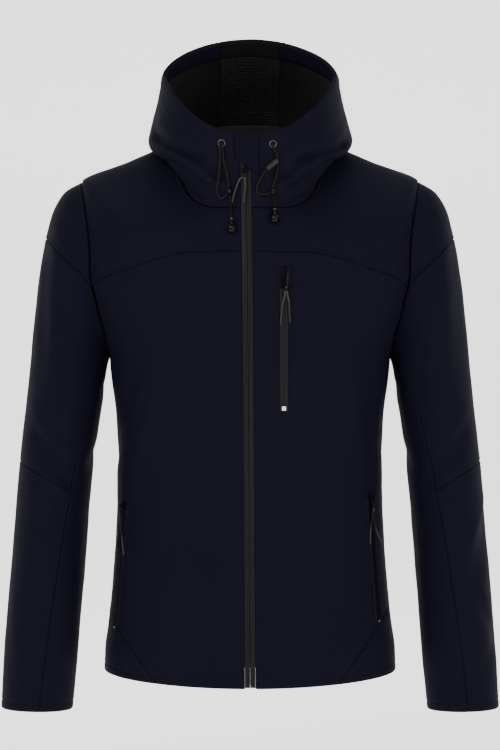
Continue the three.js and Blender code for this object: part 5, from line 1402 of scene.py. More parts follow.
def make_cords():
    made = {}
    for name, rows in PULL_CORDS.items():
        pull, strand = name.split("_pull_cord_")
        points = np.concatenate([[cord_start(pull, int(strand))], front_points(rows)])
        body = SLIDERS[pull]["body"]
        shade = "pull_cord_deep" if pull.startswith("hand") else "pull_cord"
        make_cord(name, points, PULL_CORD_DIAMETER, "pull_cord", body, made, twist, shade)
        made[name]["with_pieces"] = [cover_strand(name, made[name], body)]
    for name, rows in DRAWCORDS.items():
        finish = "tail_cord" if name.startswith("cord_tail") else "drawcord"
        make_cord(name, front_points(rows), CORD_DIAMETER, finish, BODY, made, braid)
    return made


def declare_cords(made):
    """Raises an error where a cord, other than the tails of the drawcords, is shorter than a cord may be.
    A link shorter than a cord may be goes with the cord that carries it.
    """
    for name, cord in made.items():
        if name.startswith("cord_tail"):
            continue
        length = cord["length"] * MM
        if length < LEAST_CORD:
            raise RuntimeError(f"{name} is {length:.4f} m long, too short to state as a cord")


# Pieces of the jacket

BODY = "root"
# Each panel's shell, worked out once: its outer and inner points, its lengths across and along, and how near
# a seam each point is
SHELLS = {}


def shell_of(name):
    """A panel's shell, worked out once."""
    if name not in SHELLS:
        SHELLS[name] = cloth_shell(PANELS[name], PANELS["step"])
    return SHELLS[name]


def sew_panel(name):
    """One panel of cloth in place of the part's plain one."""
    shell = shell_of(name)
    uv = np.stack([shell["across"].ravel(), shell["along"].ravel()], -1)
    piece = closed_shell(name + "_cloth", shell["outer"], shell["inner"], uv,
                         FINISH["softshell"], FINISH["fleece"], shell["near"])
    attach(piece, BODY)
    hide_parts(name)
    return piece


def sew_panels(names, group):
    """Some panels, and all their stitches as one piece."""
    runs = []
    for name in names:
        sew_panel(name)
        runs += seam_lines(PANELS[name], shell_of(name))
    sew(group, runs)


HANDS = ("left", "right")
TORSO_PANELS = [f"{part}_{side}" for part in ("front_body", "front_yoke", "side_panel") for side in HANDS]
TORSO_PANELS += ["back_body", "back_yoke"]
SLEEVE_PANELS = [f"sleeve_{part}_{side}" for side in HANDS for part in ("cap", "upper", "forearm", "under")]
HOOD_PANELS = ["hood_side_left", "hood_side_right", "hood_centre"]


# Zips, hardware and trim


def select_only(obj):
    bpy.ops.object.select_all(action="DESELECT")
    obj.select_set(True)
    bpy.context.view_layer.objects.active = obj


def apply_modifier(obj, kind, **settings):
    select_only(obj)
    modifier = obj.modifiers.new(kind.lower(), kind)
    for key, value in settings.items():
        setattr(modifier, key, value)
    bpy.ops.object.modifier_apply(modifier=modifier.name)


def finish_piece(obj, material, body, slot, *nodes):
    obj.data.materials.clear()
    obj.data.materials.append(FINISH[material])
    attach(obj, body)
    if nodes:
        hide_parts(*nodes)
    return obj


def softened_copy(node, material, body, slot, width, segments=3):
    """A CAD node again with its edges rounded over."""
    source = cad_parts[node]
    copy = bpy.data.objects.new(node + "_moulded", source.data.copy())
    bpy.context.scene.collection.objects.link(copy)
    select_only(copy)
    bpy.ops.object.mode_set(mode="EDIT")
    bpy.ops.mesh.select_all(action="SELECT")
    bpy.ops.mesh.remove_doubles(threshold=1e-6)
    bpy.ops.mesh.dissolve_limited(angle_limit=math.radians(1))
    bpy.ops.object.mode_set(mode="OBJECT")
    apply_modifier(copy, "BEVEL", width=width * MM, segments=segments, limit_method="ANGLE",
                   angle_limit=math.radians(28), harden_normals=False)
    bpy.ops.object.shade_smooth_by_angle(angle=math.radians(50))
    return finish_piece(copy, material, body, slot, node)


def place_on(obj, where):
    """Moves a piece made round the origin to a seat, with its place in its mesh."""
    matrix = Matrix.Identity(4)
    for k, key in enumerate(("across", "up", "out")):
        for row in range(3):
            matrix[row][k] = where[key][row]
    matrix.translation = Vector(where["point"]) * MM
    obj.data.transform(matrix)


def spun(name, profile, segments=40):
    """A turned piece: a profile of radius and height in millimetres, spun about the height's axis, z."""
    bpy.ops.object.select_all(action="DESELECT")
    bpy.ops.mesh.primitive_plane_add(size=1)
    obj = bpy.context.object
    obj.name = name
    mesh = bmesh.new()
    points = [mesh.verts.new((radius * MM, 0, height * MM)) for radius, height in profile]
    for a, b in zip(points, points[1:]):
        mesh.edges.new((a, b))
    mesh.to_mesh(obj.data)
    mesh.free()
    bpy.ops.object.mode_set(mode="EDIT")
    bpy.ops.mesh.select_all(action="SELECT")
    bpy.ops.mesh.spin(steps=segments, angle=2 * math.pi, center=(0, 0, 0), axis=(0, 0, 1))
    bpy.ops.mesh.select_all(action="SELECT")
    bpy.ops.mesh.remove_doubles(threshold=1e-6)
    bpy.ops.mesh.normals_make_consistent(inside=False)
    bpy.ops.object.mode_set(mode="OBJECT")
    bpy.ops.object.shade_smooth_by_angle(angle=math.radians(40))
    return obj


def rounded_profile(points):
    """A profile drawn as a smooth curve through its points, which starts and ends on the axis."""
    line, _ = smooth_route([(r, h, 0) for r, h in points], 0.25)
    return [(max(0.0, r), h) for r, h, _ in line]


def along_axis(obj, start, end, gap):
    """Turns a spun piece so that its axis runs from one point towards another, a gap beyond the first."""
    way = Vector(end - start).normalized()
    turn = way.to_track_quat("Z", "Y").to_matrix().to_4x4()
    obj.data.transform(Matrix.Translation((Vector(start) + way * gap) * MM) @ turn)


def strip_shell(name, outer, inner, material, node):
    """A strip of one material, in place of a plain one."""
    uv = np.stack([run_along(outer, 1).ravel(), run_along(outer, 0).ravel()], -1)
    piece = closed_shell(name, outer, inner, uv, FINISH[material], FINISH[material])
    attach(piece, BODY)
    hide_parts(node)


def front_grid(xs, zs):
    """Points and normals of the front on a grid, with a height for each row or for each point."""
    xs, zs = np.asarray(xs, float), np.asarray(zs, float)
    zs = np.broadcast_to(zs if zs.ndim > 1 else zs[:, None], xs.shape)
    flat = np.stack([xs.ravel(), zs.ravel(), 0 * xs.ravel()], -1)
    base = front_points(flat)
    lifted = front_points(flat + np.array([0, 0, 1.0]))
    return base.reshape(xs.shape + (3,)), (lifted - base).reshape(xs.shape + (3,))


# The front zip: two coated tapes that meet in a line, their lips rounded
ZIP_ACROSS = (0.12, 0.45, 0.9, 1.5, 2.4, 3.6, 5.0, 6.1, 6.55)
ZIP_LIP, ZIP_DEPTH, ZIP_THICKNESS = 0.55, 0.45, 1.5
LIP_WIDTH = 0.5
EDGE_DROP, EDGE_AT, EDGE_WIDTH = 0.35, 6.6, 0.7
# The coil behind shows through as a low ridge with a faint beat
COIL_RISE, COIL_AT, COIL_WIDTH = 0.22, 2.2, 1.3
BEAT_RISE, BEAT_RATE = 0.05, 1.9


def front_zip():
    """Both halves of the front zip, from the hem past the neck seam."""
    zs = np.concatenate([np.linspace(HEM_FRONT + 1.5, NECK_FRONT - 1, 150),
                         np.linspace(NECK_FRONT + 4, -2.2, 24)])
    middle = column(ZIP_LINE, "z", "x", zs)
    across = np.array(ZIP_ACROSS)
    lip = -ZIP_LIP * bell(across, LIP_WIDTH) - EDGE_DROP * bell(across - EDGE_AT, EDGE_WIDTH)
    coil = COIL_RISE * bell(across - COIL_AT, COIL_WIDTH)
    beat = BEAT_RISE * np.sin(zs * BEAT_RATE)
    for side, handed in ((1, "left"), (-1, "right")):
        base, normal = front_grid(middle[:, None] + side * across[None, :], zs)
        height = -ZIP_DEPTH + (lip + coil)[None, :] + beat[:, None] * bell(across - COIL_AT, 1)[None, :]
        outer = base + normal * height[..., None]
        inner = base - normal * (ZIP_DEPTH + ZIP_THICKNESS)
        strip_shell(f"front_zip_{handed}", outer, inner, "zip_laminate", f"zip_half_{handed}")


# The coil of teeth on the back of a zip, a bent loop for each tooth
TOOTH_PITCH, TOOTH_WIDTH = 1.9, 0.62
TOOTH_IN, TOOTH_OUT, TOOTH_DEEP = 0.9, 3.0, 0.45
COIL_LOW, COIL_HIGH = HEM_FRONT + 6, NECK_FRONT - 3


def zip_coil():
    """Interlocked coil loops behind the front zip, seen when the jacket is looked into."""
    zs = COIL_LOW + TOOTH_PITCH * np.arange(int((COIL_HIGH - COIL_LOW) / TOOTH_PITCH))
    runs = []
    for side in (1, -1):
        z = zs + (TOOTH_PITCH / 2 if side < 0 else 0)
        middle = column(ZIP_LINE, "z", "x", z)
        base, normal = front_grid(np.stack([middle - side * TOOTH_IN, middle + side * TOOTH_OUT], -1), z)
        runs.append((base - normal * (ZIP_DEPTH + ZIP_THICKNESS + TOOTH_DEEP), normal))
    corners = []
    for ends, normal in runs:
        for k, (a, b) in enumerate(zip(ends[:, 0], ends[:, 1])):
            way = (b - a) / np.linalg.norm(b - a)
            out = normal[k, 0]
            rise = np.cross(way, out)
            for point, size in ((a, 0.75), (a + way * 0.5, 1.0), (b - way * 0.4, 0.8), (b, 0.5)):
                for up, off in ROUND:
                    corners.append(point + rise * up * size * TOOTH_WIDTH * 0.62
                                   - out * off * size * TOOTH_WIDTH * 0.6)
    points = np.array(corners).reshape(-1, BAR_POINTS, 3)
    finish_piece(bars_object("front_zip_coil", points), "zip_coil", BODY, "pull_black")


# Pocket zips: a coated tape with its centre line, and the folded edge of cloth round it
POCKETS = {
    "chest": dict(x1=42.2, z1=-349.5, x2=42.2, z2=-194.0, half=5.3, top=1.4, welt=4.6, node="chest_zip"),
    "hand_left": dict(x1=163.8, z1=-612.0, x2=152.2, z2=-462.0, half=1.25, top=1.4, welt=4.2,
                      node="hand_left_zip"),
    "hand_right": dict(x1=-172.4, z1=-621.0, x2=-160.2, z2=-472.0, half=1.25, top=1.4, welt=4.2,
                       node="hand_right_zip"),
}
TAPE_SHARE = (-1, -0.96, -0.86, -0.6, -0.3, -0.09, -0.03, 0, 0.03, 0.09, 0.3, 0.6, 0.86, 0.96, 1)
TAPE_GROOVE, GROOVE_SHARE, TAPE_EDGE_SHARE, TAPE_BOTTOM = 0.5, 0.06, 0.08, 0.32
# The welt's section: distances out from the tape, the last two at each pocket's own edge, and heights
WELT_OFFSETS = (0.15, 0.4, 0.9, 1.7, 2.6, 3.4, 4.1)
WELT_HEIGHTS = (0.35, 1.0, 1.45, 1.6, 1.5, 1.15, 0.8, 0.45, 0.12)
WELT_CORNER, WELT_BOTTOM, WELT_STITCH_ROW = 1.2, 0.04, 5


def pocket_tape(name, pocket, rows=44):
    """A pocket's coated tape with the groove along its middle."""
    t = np.linspace(0, 1, rows)
    x, z = (pocket[key + "1"] + (pocket[key + "2"] - pocket[key + "1"]) * t for key in "xz")
    share = np.array(TAPE_SHARE)
    base, normal = front_grid(x[:, None] + pocket["half"] * share[None, :], z)
    height = (pocket["top"] - TAPE_GROOVE * bell(share, GROOVE_SHARE)
              - TAPE_GROOVE * bell(np.abs(share) - 1, TAPE_EDGE_SHARE))
    outer = base + normal * height[None, :, None]
    inner = base + normal * TAPE_BOTTOM
    # The hand pockets' tapes take the darker copy, painted shade of their recess
    laminate = "zip_laminate" if name == "chest" else "zip_laminate_painted_shade"
    strip_shell(f"{name}_tape", outer, inner, laminate, pocket["node"])


def pocket_welt(name, pocket, steps=60):
    """The folded edge of the opening, a low rounded band all round the tape, with its stitches."""
    dx, dz = pocket["x2"] - pocket["x1"], pocket["z2"] - pocket["z1"]
    length = math.hypot(dx, dz)
    way, aside = np.array([dx, dz]) / length, np.array([dz, -dx]) / length
    middle = np.array([pocket["x1"] + pocket["x2"], pocket["z1"] + pocket["z2"]]) / 2
    heights = np.array(WELT_HEIGHTS)
    rings = []
    for off in (*WELT_OFFSETS, pocket["welt"], pocket["welt"] + 0.5):
        half_w, half_l = pocket["half"] + off, length / 2 + off
        corner = min(WELT_CORNER + off, half_w * 0.98)
        outline = rounded_ring(half_w, half_l, corner, steps)
        rings.append(middle + outline[:, :1] * aside + outline[:, 1:] * way)
    rings = np.array(rings)
    base, up = front_grid(rings[..., 0], rings[..., 1])
    outer = base + up * heights[:, None, None]
    low = base + up * WELT_BOTTOM
    count, around = outer.shape[:2]
    at = np.arange(count * around).reshape(count, around)
    size, after = count * around, np.roll(at, -1, axis=1)
    top = np.stack([at[:-1], after[:-1], after[1:], at[1:]], -1).reshape(-1, 4)
    faces = [top, top[:, ::-1] + size]
    for row, flip in ((0, False), (count - 1, True)):
        wall = np.stack([at[row], at[row] + size, after[row] + size, after[row]], -1)
        faces.append(wall[:, ::-1] if flip else wall)
    faces = np.concatenate(faces)
    points = np.concatenate([outer.reshape(-1, 3), low.reshape(-1, 3)])
    piece = mesh_object(f"{name}_pocket_edge", points, faces)
    outward(piece)
    set_uv(piece, np.concatenate([rings.reshape(-1, 2)] * 2))
    finish_piece(piece, "softshell", BODY, "softshell")
    return [tuple(np.concatenate([grid[WELT_STITCH_ROW], grid[WELT_STITCH_ROW][:1]]) for grid in (outer, up))]


def rounded_ring(half_w, half_l, corner, steps):
    """A rectangle with round corners as an even closed run of points."""
    points = []
    for sx, sy, start in ((1, 1, 0), (-1, 1, 90), (-1, -1, 180), (1, -1, 270)):
        for turn in np.radians(np.linspace(start, start + 90, 8)):
            points.append((sx * (half_w - corner) + corner * math.cos(turn),
                           sy * (half_l - corner) + corner * math.sin(turn)))
    points = np.array(points + points[:1])
    along = length_along(points)
    at = np.linspace(0, 1, 2 * steps + 33)[:-1]
    return np.stack([np.interp(at * along[-1], along, points[:, k]) for k in (0, 1)], -1)


# The chest pocket's stitching runs on up to the yoke seam: its two lines, and their ends
CHEST_LINES = {"x": (36.6, 54.2), "low": -196.0, "high": -153.0}


def chest_stitching():
    runs = []
    for x in CHEST_LINES["x"]:
        z = np.linspace(CHEST_LINES["low"], CHEST_LINES["high"], 24)
        base, normal = front_grid(np.full((24, 1), x), z)
        runs.append((base[:, 0] + normal[:, 0] * 0.1, normal[:, 0]))
    return runs


# Chin guard, hood facings and the knitted mesh inside the hood

CHIN_GUARD = {"left": 11.0, "right": -19.5, "top": -1.2, "low_left": -52.5, "low_right": -30.5,
              "thickness": 1.8}
GUARD_STITCH = 4.2
GUARD_MARKS = (0, 0.4, 1.0, 2.0, 3.4, GUARD_STITCH, 5.0, 6.4)


def both_ends(marks, length, step):
    """Marks from each end of a length, with even steps between."""
    marks = np.array(marks, float)
    count = max(1, int((length - 2 * marks[-1]) / step))
    middle = np.linspace(marks[-1], length - marks[-1], count + 1)[1:-1]
    return np.concatenate([marks, middle, (length - marks)[::-1]])


def chin_guard():
    """The flap that covers the top of the zip, with a slanting lower edge and a stitched border."""
    guard = CHIN_GUARD
    width = guard["left"] - guard["right"]
    across = both_ends(GUARD_MARKS, width, 1.6)
    x = guard["right"] + across
    low = guard["low_right"] + (guard["low_left"] - guard["low_right"]) * across / width
    height = guard["top"] - low
    share = both_ends(GUARD_MARKS, float(height.mean()), 1.8) / float(height.mean())
    z = low[None, :] + height[None, :] * share[:, None]
    base, normal = front_grid(np.broadcast_to(x, z.shape), z)
    edges = np.minimum(np.minimum(across, width - across)[None, :],
                       np.minimum(share, 1 - share)[:, None] * height[None, :])
    rise = (LAYER_GAP + guard["thickness"] + 0.25 - 0.9 * bell(edges, 0.8)
            - 0.35 * bell(edges - GUARD_STITCH, 0.7) + 0.15 * small_waves(base, 23))
    outer = base + normal * rise[..., None]
    inner = base + normal * LAYER_GAP
    strip_shell("chin_guard_cloth", outer, inner, "softshell_trim", "chin_guard")
    i = GUARD_MARKS.index(GUARD_STITCH)
    inside = slice(i, -i)
    return [(outer[inside, i], normal[inside, i]), (outer[inside, -1 - i], normal[inside, -1 - i]),
            (outer[i, inside], normal[i, inside])]


# The side facings take the lighter copy of the softshell, painted light over the shade inside the rim
FACINGS = {"hood_facing_left": (62.0, 160.0, "softshell_facing_painted_light", "softshell"),
           "hood_facing_centre": (160.0, 200.0, "facing_black", "facing_black"),
           "hood_facing_right": (200.0, 298.0, "softshell_facing_painted_light", "softshell")}
FACING_GAP, FACING_THICKNESS, FACING_DEPTH, FACING_STITCH = 1.5, 1.2, 0.85, 4.6


def hood_facing(name, start, end, material, slot):
    """The strip turned in along the hood's rim, with a rolled lower edge, and the run of its stitches."""
    ring = RIM - 0.05 - FACING_DEPTH * np.linspace(1, 0, 18) ** 1.2
    turn = np.linspace(start + 0.15, end - 0.15, int((end - start) / 1.6))
    a, b = np.meshgrid(turn, ring)
    base, normal = hood(a, b), normal_of(hood, a, b, 0.3, 0.03)
    folds = fold_height(dict(form=hood), places(a, b), base)[..., None] * normal
    from_low = run_along(base, 0)
    roll = 0.5 * bell(from_low, 1.1) + 0.3 * bell(from_low - FACING_STITCH, 0.8)
    near = -(CLOTH + FACING_GAP)
    outer = base + folds * 0.6 + normal * near
    inner = base + folds * 0.6 + normal * (near - FACING_THICKNESS + roll)[..., None]
    strip_shell(name + "_cloth", outer, inner, material, name)
    thread_row = int(np.argmin(np.abs(from_low[:, 0] - FACING_STITCH)))
    return inner[thread_row], -normal[thread_row]


# The knitted mesh that lines the hood's centre strip: size of an eye, and its strands
MESH_EYE, MESH_STRAND = 3.3, 0.75
MESH_RINGS, MESH_LENGTH, MESH_WIDTH = (0.55, 6.0), 250, 80
MESH_INSET, MESH_CLEAR = 1.2, 1.1


def hood_mesh():
    """A grid of strands with an open eye between them, a little clear of the hood's inside."""
    ring = np.linspace(*MESH_RINGS, int(MESH_LENGTH / MESH_EYE) + 1)
    low = strip_turn(ring) + MESH_INSET
    columns = int(MESH_WIDTH / MESH_EYE) + 1
    share = np.linspace(0, 1, columns)
    turn = low[:, None] + (360 - 2 * low[:, None]) * share[None, :]
    turn[1::2] += (360 - 2 * low[1::2, None]) / columns / 2 * (1 - 2 * np.abs(share - 0.5))[None, :]
    at = np.broadcast_to(ring[:, None], turn.shape)
    base, normal = hood(turn, at), normal_of(hood, turn, at, 0.3, 0.03)
    bpy.ops.object.select_all(action="DESELECT")
    bpy.ops.mesh.primitive_grid_add(x_subdivisions=columns - 1, y_subdivisions=len(ring) - 1, size=0.1)
    net = bpy.context.object
    net.name = "hood_mesh_lining"
    points = (base - normal * (CLOTH + MESH_CLEAR)).reshape(-1, 3) * MM
    net.data.vertices.foreach_set("co", points.astype(np.float32).ravel())
    net.data.update()
    apply_modifier(net, "WIREFRAME", thickness=MESH_STRAND * MM, use_even_offset=False, use_boundary=True)
    bpy.ops.object.shade_smooth()
    for layer in list(net.data.uv_layers):
        net.data.uv_layers.remove(layer)
    # The mesh takes the lighter knit finish, painted light over the shade between its strands
    finish_piece(net, "knit_black_painted_light", BODY, "facing_black")


# Small hardware

EYELETS = (("right", -35.7, -12.0), ("left", 28.8, -13.0))
EYELET_PROFILE = ((3.15, 0.05), (5.15, 0.05), (5.2, 0.3), (4.95, 0.75), (4.45, 1.02), (3.9, 1.02),
                  (3.4, 0.8), (3.12, 0.35), (3.15, 0.05))


def eyelets():
    for handed, x, z in EYELETS:
        ring = spun(f"eyelet_{handed}_ring", EYELET_PROFILE)
        place_on(ring, seat(x, z, LAYER_GAP))
        finish_piece(ring, "gunmetal", BODY, "eyelet_metal", f"eyelet_{handed}")


TOGGLE_LENGTH = 20.0
TOGGLE_PROFILE = ((0, 0), (1.3, 0.15), (1.75, 0.9), (1.8, 2.2), (2.0, 3.4), (3.0, 6.4), (4.5, 9.8),
                  (5.4, 13.2), (5.1, 16.4), (3.7, 18.9), (1.7, 20.1), (0, 20.3))
FERRULE_PROFILE = ((0, 0.7), (1.9, 0.75), (2.15, 1.4), (2.15, 2.4), (1.9, 3.0), (0, 3.1))
BALL_PROFILE = ((0, 0), (1.6, 0.1), (2.8, 0.9), (3.5, 2.4), (3.5, 4.6), (2.8, 6.1), (1.6, 6.9), (0, 7.0))
RING_PROFILE = ((0, 0.4), (1.5, 0.3), (2.4, 0.5), (3.1, 1.4), (3.4, 3.0), (3.4, 4.0), (3.1, 5.6), (2.4, 6.6),
                (1.5, 6.8), (0, 6.6))
BARREL_PROFILE = ((0, 0.1), (2.2, 0.1), (2.85, 0.5), (3.15, 1.2), (3.3, 2.2), (3.3, 5.2), (3.05, 5.6),
                  (3.05, 6.1), (3.3, 6.5), (3.3, 11.4), (3.05, 11.8), (3.05, 12.3), (3.3, 12.7), (3.3, 15.8),
                  (3.15, 16.7), (2.85, 17.3), (2.2, 17.7), (0, 17.7))


def toggle_ends(handed):
    """Where a cord enters its toggle, and a place the toggle points to."""
    x, z, lift = DRAWCORDS[f"cord_tail_{handed}"][-1]
    return front_points([(x, z, lift), (x, z - TOGGLE_LENGTH, 6)])


def cord_hardware():
    """The locks on the two drawcords, the ring under the left one, and the two toggles."""
    made = {}
    end = lambda name, index: front_points([DRAWCORDS[name][index]])[0]
    barrel_start, barrel_end = front_points([(20.2, -45.6, 8.2), (38.4, -31, 9.2)])
    rows = {
        "cord_lock_right": (end("drawcord_right", -1), end("cord_tail_right", 0), LAYER_GAP + 0.2,
                            rounded_profile(BALL_PROFILE), "gloss_black", "lock_black"),
        "cord_ring_left": (end("drawcord_left", -1), end("cord_tail_left", 0), LAYER_GAP + 0.2,
                           rounded_profile(RING_PROFILE), "gloss_black", "lock_black"),
        "cord_lock_left": (barrel_start, barrel_end, LAYER_GAP, BARREL_PROFILE, "lock_taupe", "lock_taupe"),
    }
    for handed in ("right", "left"):
        rows[f"toggle_{handed}"] = (*toggle_ends(handed), LAYER_GAP, rounded_profile(TOGGLE_PROFILE),
                                    "gloss_black", "toggle_black")
    for name, (start, finish, gap, profile, material, slot) in rows.items():
        piece = spun(name + "_turned", profile, 36)
        along_axis(piece, start, finish, gap)
        made[name] = finish_piece(piece, material, BODY, slot, name)
    return made


def toggle_caps():
    """A small bright ferrule at the top of each toggle, where its cord goes in."""
    for handed in ("right", "left"):
        cap = spun(f"toggle_{handed}_ferrule", rounded_profile(FERRULE_PROFILE), 28)
        along_axis(cap, *toggle_ends(handed), LAYER_GAP)
        finish_piece(cap, "gunmetal", BODY, "eyelet_metal")


def sliders_and_tabs():
    for name, at in SLIDERS.items():
        softened_copy(f"{name}_slider", "moulded_black", BODY, "pull_black", 0.3)
        softened_copy(f"{name}_pull_tab", "gloss_black", at["body"], "pull_black", 0.18, 2)


# Small square stops below the pocket zips: place, size, lift and the node that one stands for
STOPS = {
    "chest": (42.2, -344.5, 5.0, 5.2, 1.9, "chest_stop"),
    "hand_left": (164.2, -616.0, 2.4, 3.2, 0.8),
    "hand_right": (-172.8, -625.2, 2.4, 3.2, 0.8),
}


def stop_piece(name, x, z, width, height, lift):
    bpy.ops.object.select_all(action="DESELECT")
    bpy.ops.mesh.primitive_cube_add(size=1)
    piece = bpy.context.object
    piece.name = name
    piece.data.transform(Matrix.Diagonal((width * MM, height * MM, 0.9 * MM, 1)))
    apply_modifier(piece, "BEVEL", width=0.32 * MM, segments=3)
    bpy.ops.object.shade_smooth_by_angle(angle=math.radians(40))
    place_on(piece, seat(x, z, lift))
    return piece


def stops_and_garage():
    softened_copy("chest_garage", "moulded_black", BODY, "pull_black", 0.3)
    for name, (x, z, width, height, lift, *nodes) in STOPS.items():
        piece = stop_piece(f"{name}_stop", x, z, width, height, lift)
        shade = "reflective" if nodes else "reflective_dim"
        finish_piece(piece, shade, BODY, "reflective", *nodes)


# Camera, light and floor

CAMERA_DISTANCE, CAMERA_HEIGHT, PICTURE_HEIGHT, SENSOR = 3.2, -0.3029, 0.975, 36.0
FLOOR_HEIGHT = -0.86
LIGHT_AIM = (0, 0, -0.3)
# Each light's place, size and power
LIGHTS = {
    "key": ((-1.6, -2.6, 1.5), 2.0, 95),
    "fill": ((2.0, -2.4, 0.7), 2.2, 62),
    "top": ((0, 0.6, 2.4), 2.2, 40),
    "rim_left": ((-2.2, 1.4, 0.6), 1.4, 18),
    "rim_right": ((2.2, 1.4, 0.6), 1.4, 18),
}


def make_camera():
    data = bpy.data.cameras.new("camera")
    data.sensor_width = SENSOR
    data.lens = SENSOR * CAMERA_DISTANCE / PICTURE_HEIGHT
    camera = bpy.data.objects.new("camera", data)
    camera.location = (0, -CAMERA_DISTANCE, CAMERA_HEIGHT)
    camera.rotation_euler = (math.pi / 2, 0, 0)
    bpy.context.scene.collection.objects.link(camera)
    bpy.context.scene.camera = camera


def area_light(name, place, aim, size, power):
    data = bpy.data.lights.new(name, "AREA")
    data.shape, data.size, data.energy = "DISK", size, power
    light = bpy.data.objects.new(name, data)
    light.location = place
    light.rotation_euler = (Vector(aim) - Vector(place)).to_track_quat("-Z", "Y").to_euler()
    bpy.context.scene.collection.objects.link(light)


def make_stage(settings):
    """A pale floor that bends up into a backdrop, and broad soft lights."""
    bpy.ops.object.select_all(action="DESELECT")
    bpy.ops.mesh.primitive_plane_add(size=1, location=(0, 0, FLOOR_HEIGHT))
    floor = bpy.context.object
    floor.name = "floor"
    floor.scale = (9, 7, 1)
    bpy.ops.object.transform_apply(location=True, rotation=True, scale=True)
    bpy.ops.object.mode_set(mode="EDIT")
    bpy.ops.mesh.select_all(action="DESELECT")
    bpy.ops.object.mode_set(mode="OBJECT")
    for edge in floor.data.edges:
        edge.select = all(floor.data.vertices[v].co.y > 3 for v in edge.vertices)
    bpy.ops.object.mode_set(mode="EDIT")
    bpy.ops.mesh.select_mode(type="EDGE")
    bpy.ops.mesh.extrude_region_move(TRANSFORM_OT_translate={"value": (0, 0, 5)})
    bpy.ops.object.mode_set(mode="OBJECT")
    bend = floor.modifiers.new("bend", "BEVEL")
    bend.width, bend.segments, bend.limit_method = 1.2, 12, "ANGLE"
    bpy.ops.object.modifier_apply(modifier="bend")
    bpy.ops.object.shade_smooth()
    tree, shader = plain_finish("floor_white", (0.95, 0.95, 0.95), 0.9, emission_color=(1, 1, 1, 1),
                                emission_strength=0.9)
    place = add_node(tree, "ShaderNodeTexCoord").outputs["Object"]
    two_tone(tree, shader, noise(tree, place, 1.5), (0.94, 0.94, 0.94), (0.96, 0.96, 0.96))
    floor.data.materials.append(FINISH["floor_white"])
    world = bpy.data.worlds.new("studio")
    world.use_nodes = True
    world.node_tree.nodes["Background"].inputs["Color"].default_value = (1, 1, 1, 1)
    world.node_tree.nodes["Background"].inputs["Strength"].default_value = settings.surround
    bpy.context.scene.world = world
    for name, (place, size, power) in LIGHTS.items():
        area_light(name, place, LIGHT_AIM, size, power * settings.light)


# The add-on's settings, operators and panel


class JacketSettings(bpy.types.PropertyGroup):
    navy: FloatVectorProperty(
        name="Cloth colour", description="The light tone of the softshell's outer face",
        subtype="COLOR", size=3, min=0, max=1, default=(0.0043, 0.0039, 0.0098))
    cloth_step: FloatProperty(
        name="Cloth step", description="Space between grid lines away from the seams, in millimetres",
        default=4.6, min=2, max=20)
    light: FloatProperty(
        name="Light", description="Strength of the studio lights", default=1.0, min=0, max=10)
    surround: FloatProperty(
        name="Surround", description="Strength of the even light all round", default=0.4, min=0, max=10)


class PieceOperator:
    bl_options = {"REGISTER"}

    def execute(self, context):
        self.make(context.scene.jacket)
        return {"FINISHED"}


class JACKET_OT_finishes(PieceOperator, bpy.types.Operator):
    """Makes the materials of the cloth, the cords and the hardware"""
    bl_idname, bl_label = "jacket.finishes", "Finishes"

    def make(self, settings):
        make_finishes(settings)


class JACKET_OT_camera(PieceOperator, bpy.types.Operator):
    """Places the camera in front of the jacket"""
    bl_idname, bl_label = "jacket.camera", "Camera"

    def make(self, settings):
        make_camera()


class JACKET_OT_cords(PieceOperator, bpy.types.Operator):
    """Braids the drawcords and the strands of the zip pulls, with their locks and toggles"""
    bl_idname, bl_label = "jacket.cords", "Cords"

    def make(self, settings):
        cords = make_cords()
        pieces = cord_hardware()
        toggle_caps()
        declare_cords(cords)


class JACKET_OT_torso(PieceOperator, bpy.types.Operator):
    """Sews the fronts, the yokes, the side panels and the back"""
    bl_idname, bl_label = "jacket.torso", "Torso"

    def make(self, settings):
        lay_out_panels(settings.cloth_step)
        sew_panels(TORSO_PANELS, "torso")


class JACKET_OT_sleeves(PieceOperator, bpy.types.Operator):
    """Sews the two sleeves, each from a cap, an upper part, a forearm and an under part"""
    bl_idname, bl_label = "jacket.sleeves", "Sleeves"

    def make(self, settings):
        sew_panels(SLEEVE_PANELS, "sleeves")


class JACKET_OT_hood(PieceOperator, bpy.types.Operator):
    """Sews the hood's sides and centre strip"""
    bl_idname, bl_label = "jacket.hood", "Hood"

    def make(self, settings):
        sew_panels(HOOD_PANELS, "hood")


class JACKET_OT_hood_inside(PieceOperator, bpy.types.Operator):
    """Adds the facings inside the hood's rim and the knitted mesh lining"""
    bl_idname, bl_label = "jacket.hood_inside", "Hood inside"

    def make(self, settings):
        sew("facings", [hood_facing(name, *row) for name, row in FACINGS.items()])
        hood_mesh()


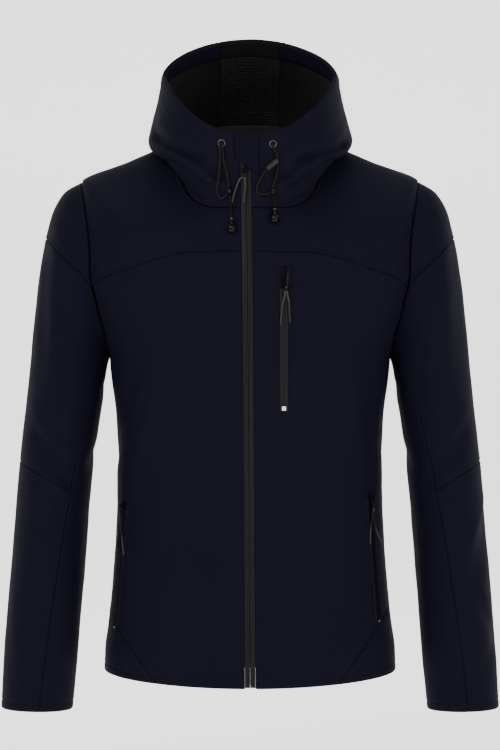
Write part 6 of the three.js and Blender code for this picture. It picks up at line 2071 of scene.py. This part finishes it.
class JACKET_OT_zips(PieceOperator, bpy.types.Operator):
    """Adds the front zip and the pocket zips, with the chin guard and the folded pocket edges"""
    bl_idname, bl_label = "jacket.zips", "Zips and pockets"

    def make(self, settings):
        front_zip()
        zip_coil()
        runs = chin_guard()
        for name, pocket in POCKETS.items():
            pocket_tape(name, pocket)
            runs += pocket_welt(name, pocket)
        runs += chest_stitching()
        sew("pockets", runs)


class JACKET_OT_hardware(PieceOperator, bpy.types.Operator):
    """Adds the sliders, pull tabs, eyelets, stops and the chest zip's garage"""
    bl_idname, bl_label = "jacket.hardware", "Hardware"

    def make(self, settings):
        sliders_and_tabs()
        eyelets()
        stops_and_garage()


class JACKET_OT_stage(PieceOperator, bpy.types.Operator):
    """Adds the floor, the backdrop and the studio lights"""
    bl_idname, bl_label = "jacket.stage", "Stage"

    def make(self, settings):
        make_stage(settings)


OPERATORS = (
    JACKET_OT_finishes, JACKET_OT_camera, JACKET_OT_cords, JACKET_OT_torso, JACKET_OT_sleeves,
    JACKET_OT_hood, JACKET_OT_hood_inside, JACKET_OT_zips, JACKET_OT_hardware, JACKET_OT_stage,
)


class JACKET_PT_pieces(bpy.types.Panel):
    """Lists the jacket's pieces and settings"""
    bl_label, bl_idname = "Jacket", "JACKET_PT_pieces"
    bl_space_type, bl_region_type, bl_category = "VIEW_3D", "UI", "Jacket"

    def draw(self, context):
        for name in ("navy", "cloth_step", "light", "surround"):
            self.layout.prop(context.scene.jacket, name)
        for operator in OPERATORS:
            self.layout.operator(operator.bl_idname)


def register():
    for kind in (JacketSettings, *OPERATORS, JACKET_PT_pieces):
        bpy.utils.register_class(kind)
    bpy.types.Scene.jacket = PointerProperty(type=JacketSettings)


def unregister():
    del bpy.types.Scene.jacket
    for kind in (JACKET_PT_pieces, *reversed(OPERATORS), JacketSettings):
        bpy.utils.unregister_class(kind)


def main():
    register()
    bpy.ops.jacket.finishes()
    bpy.ops.jacket.camera()
    bpy.ops.jacket.cords()
    bpy.ops.jacket.torso()
    bpy.ops.jacket.sleeves()
    bpy.ops.jacket.hood()
    bpy.ops.jacket.hood_inside()
    bpy.ops.jacket.zips()
    bpy.ops.jacket.hardware()
    bpy.ops.jacket.stage()


if __name__ == "__main__":
    main()
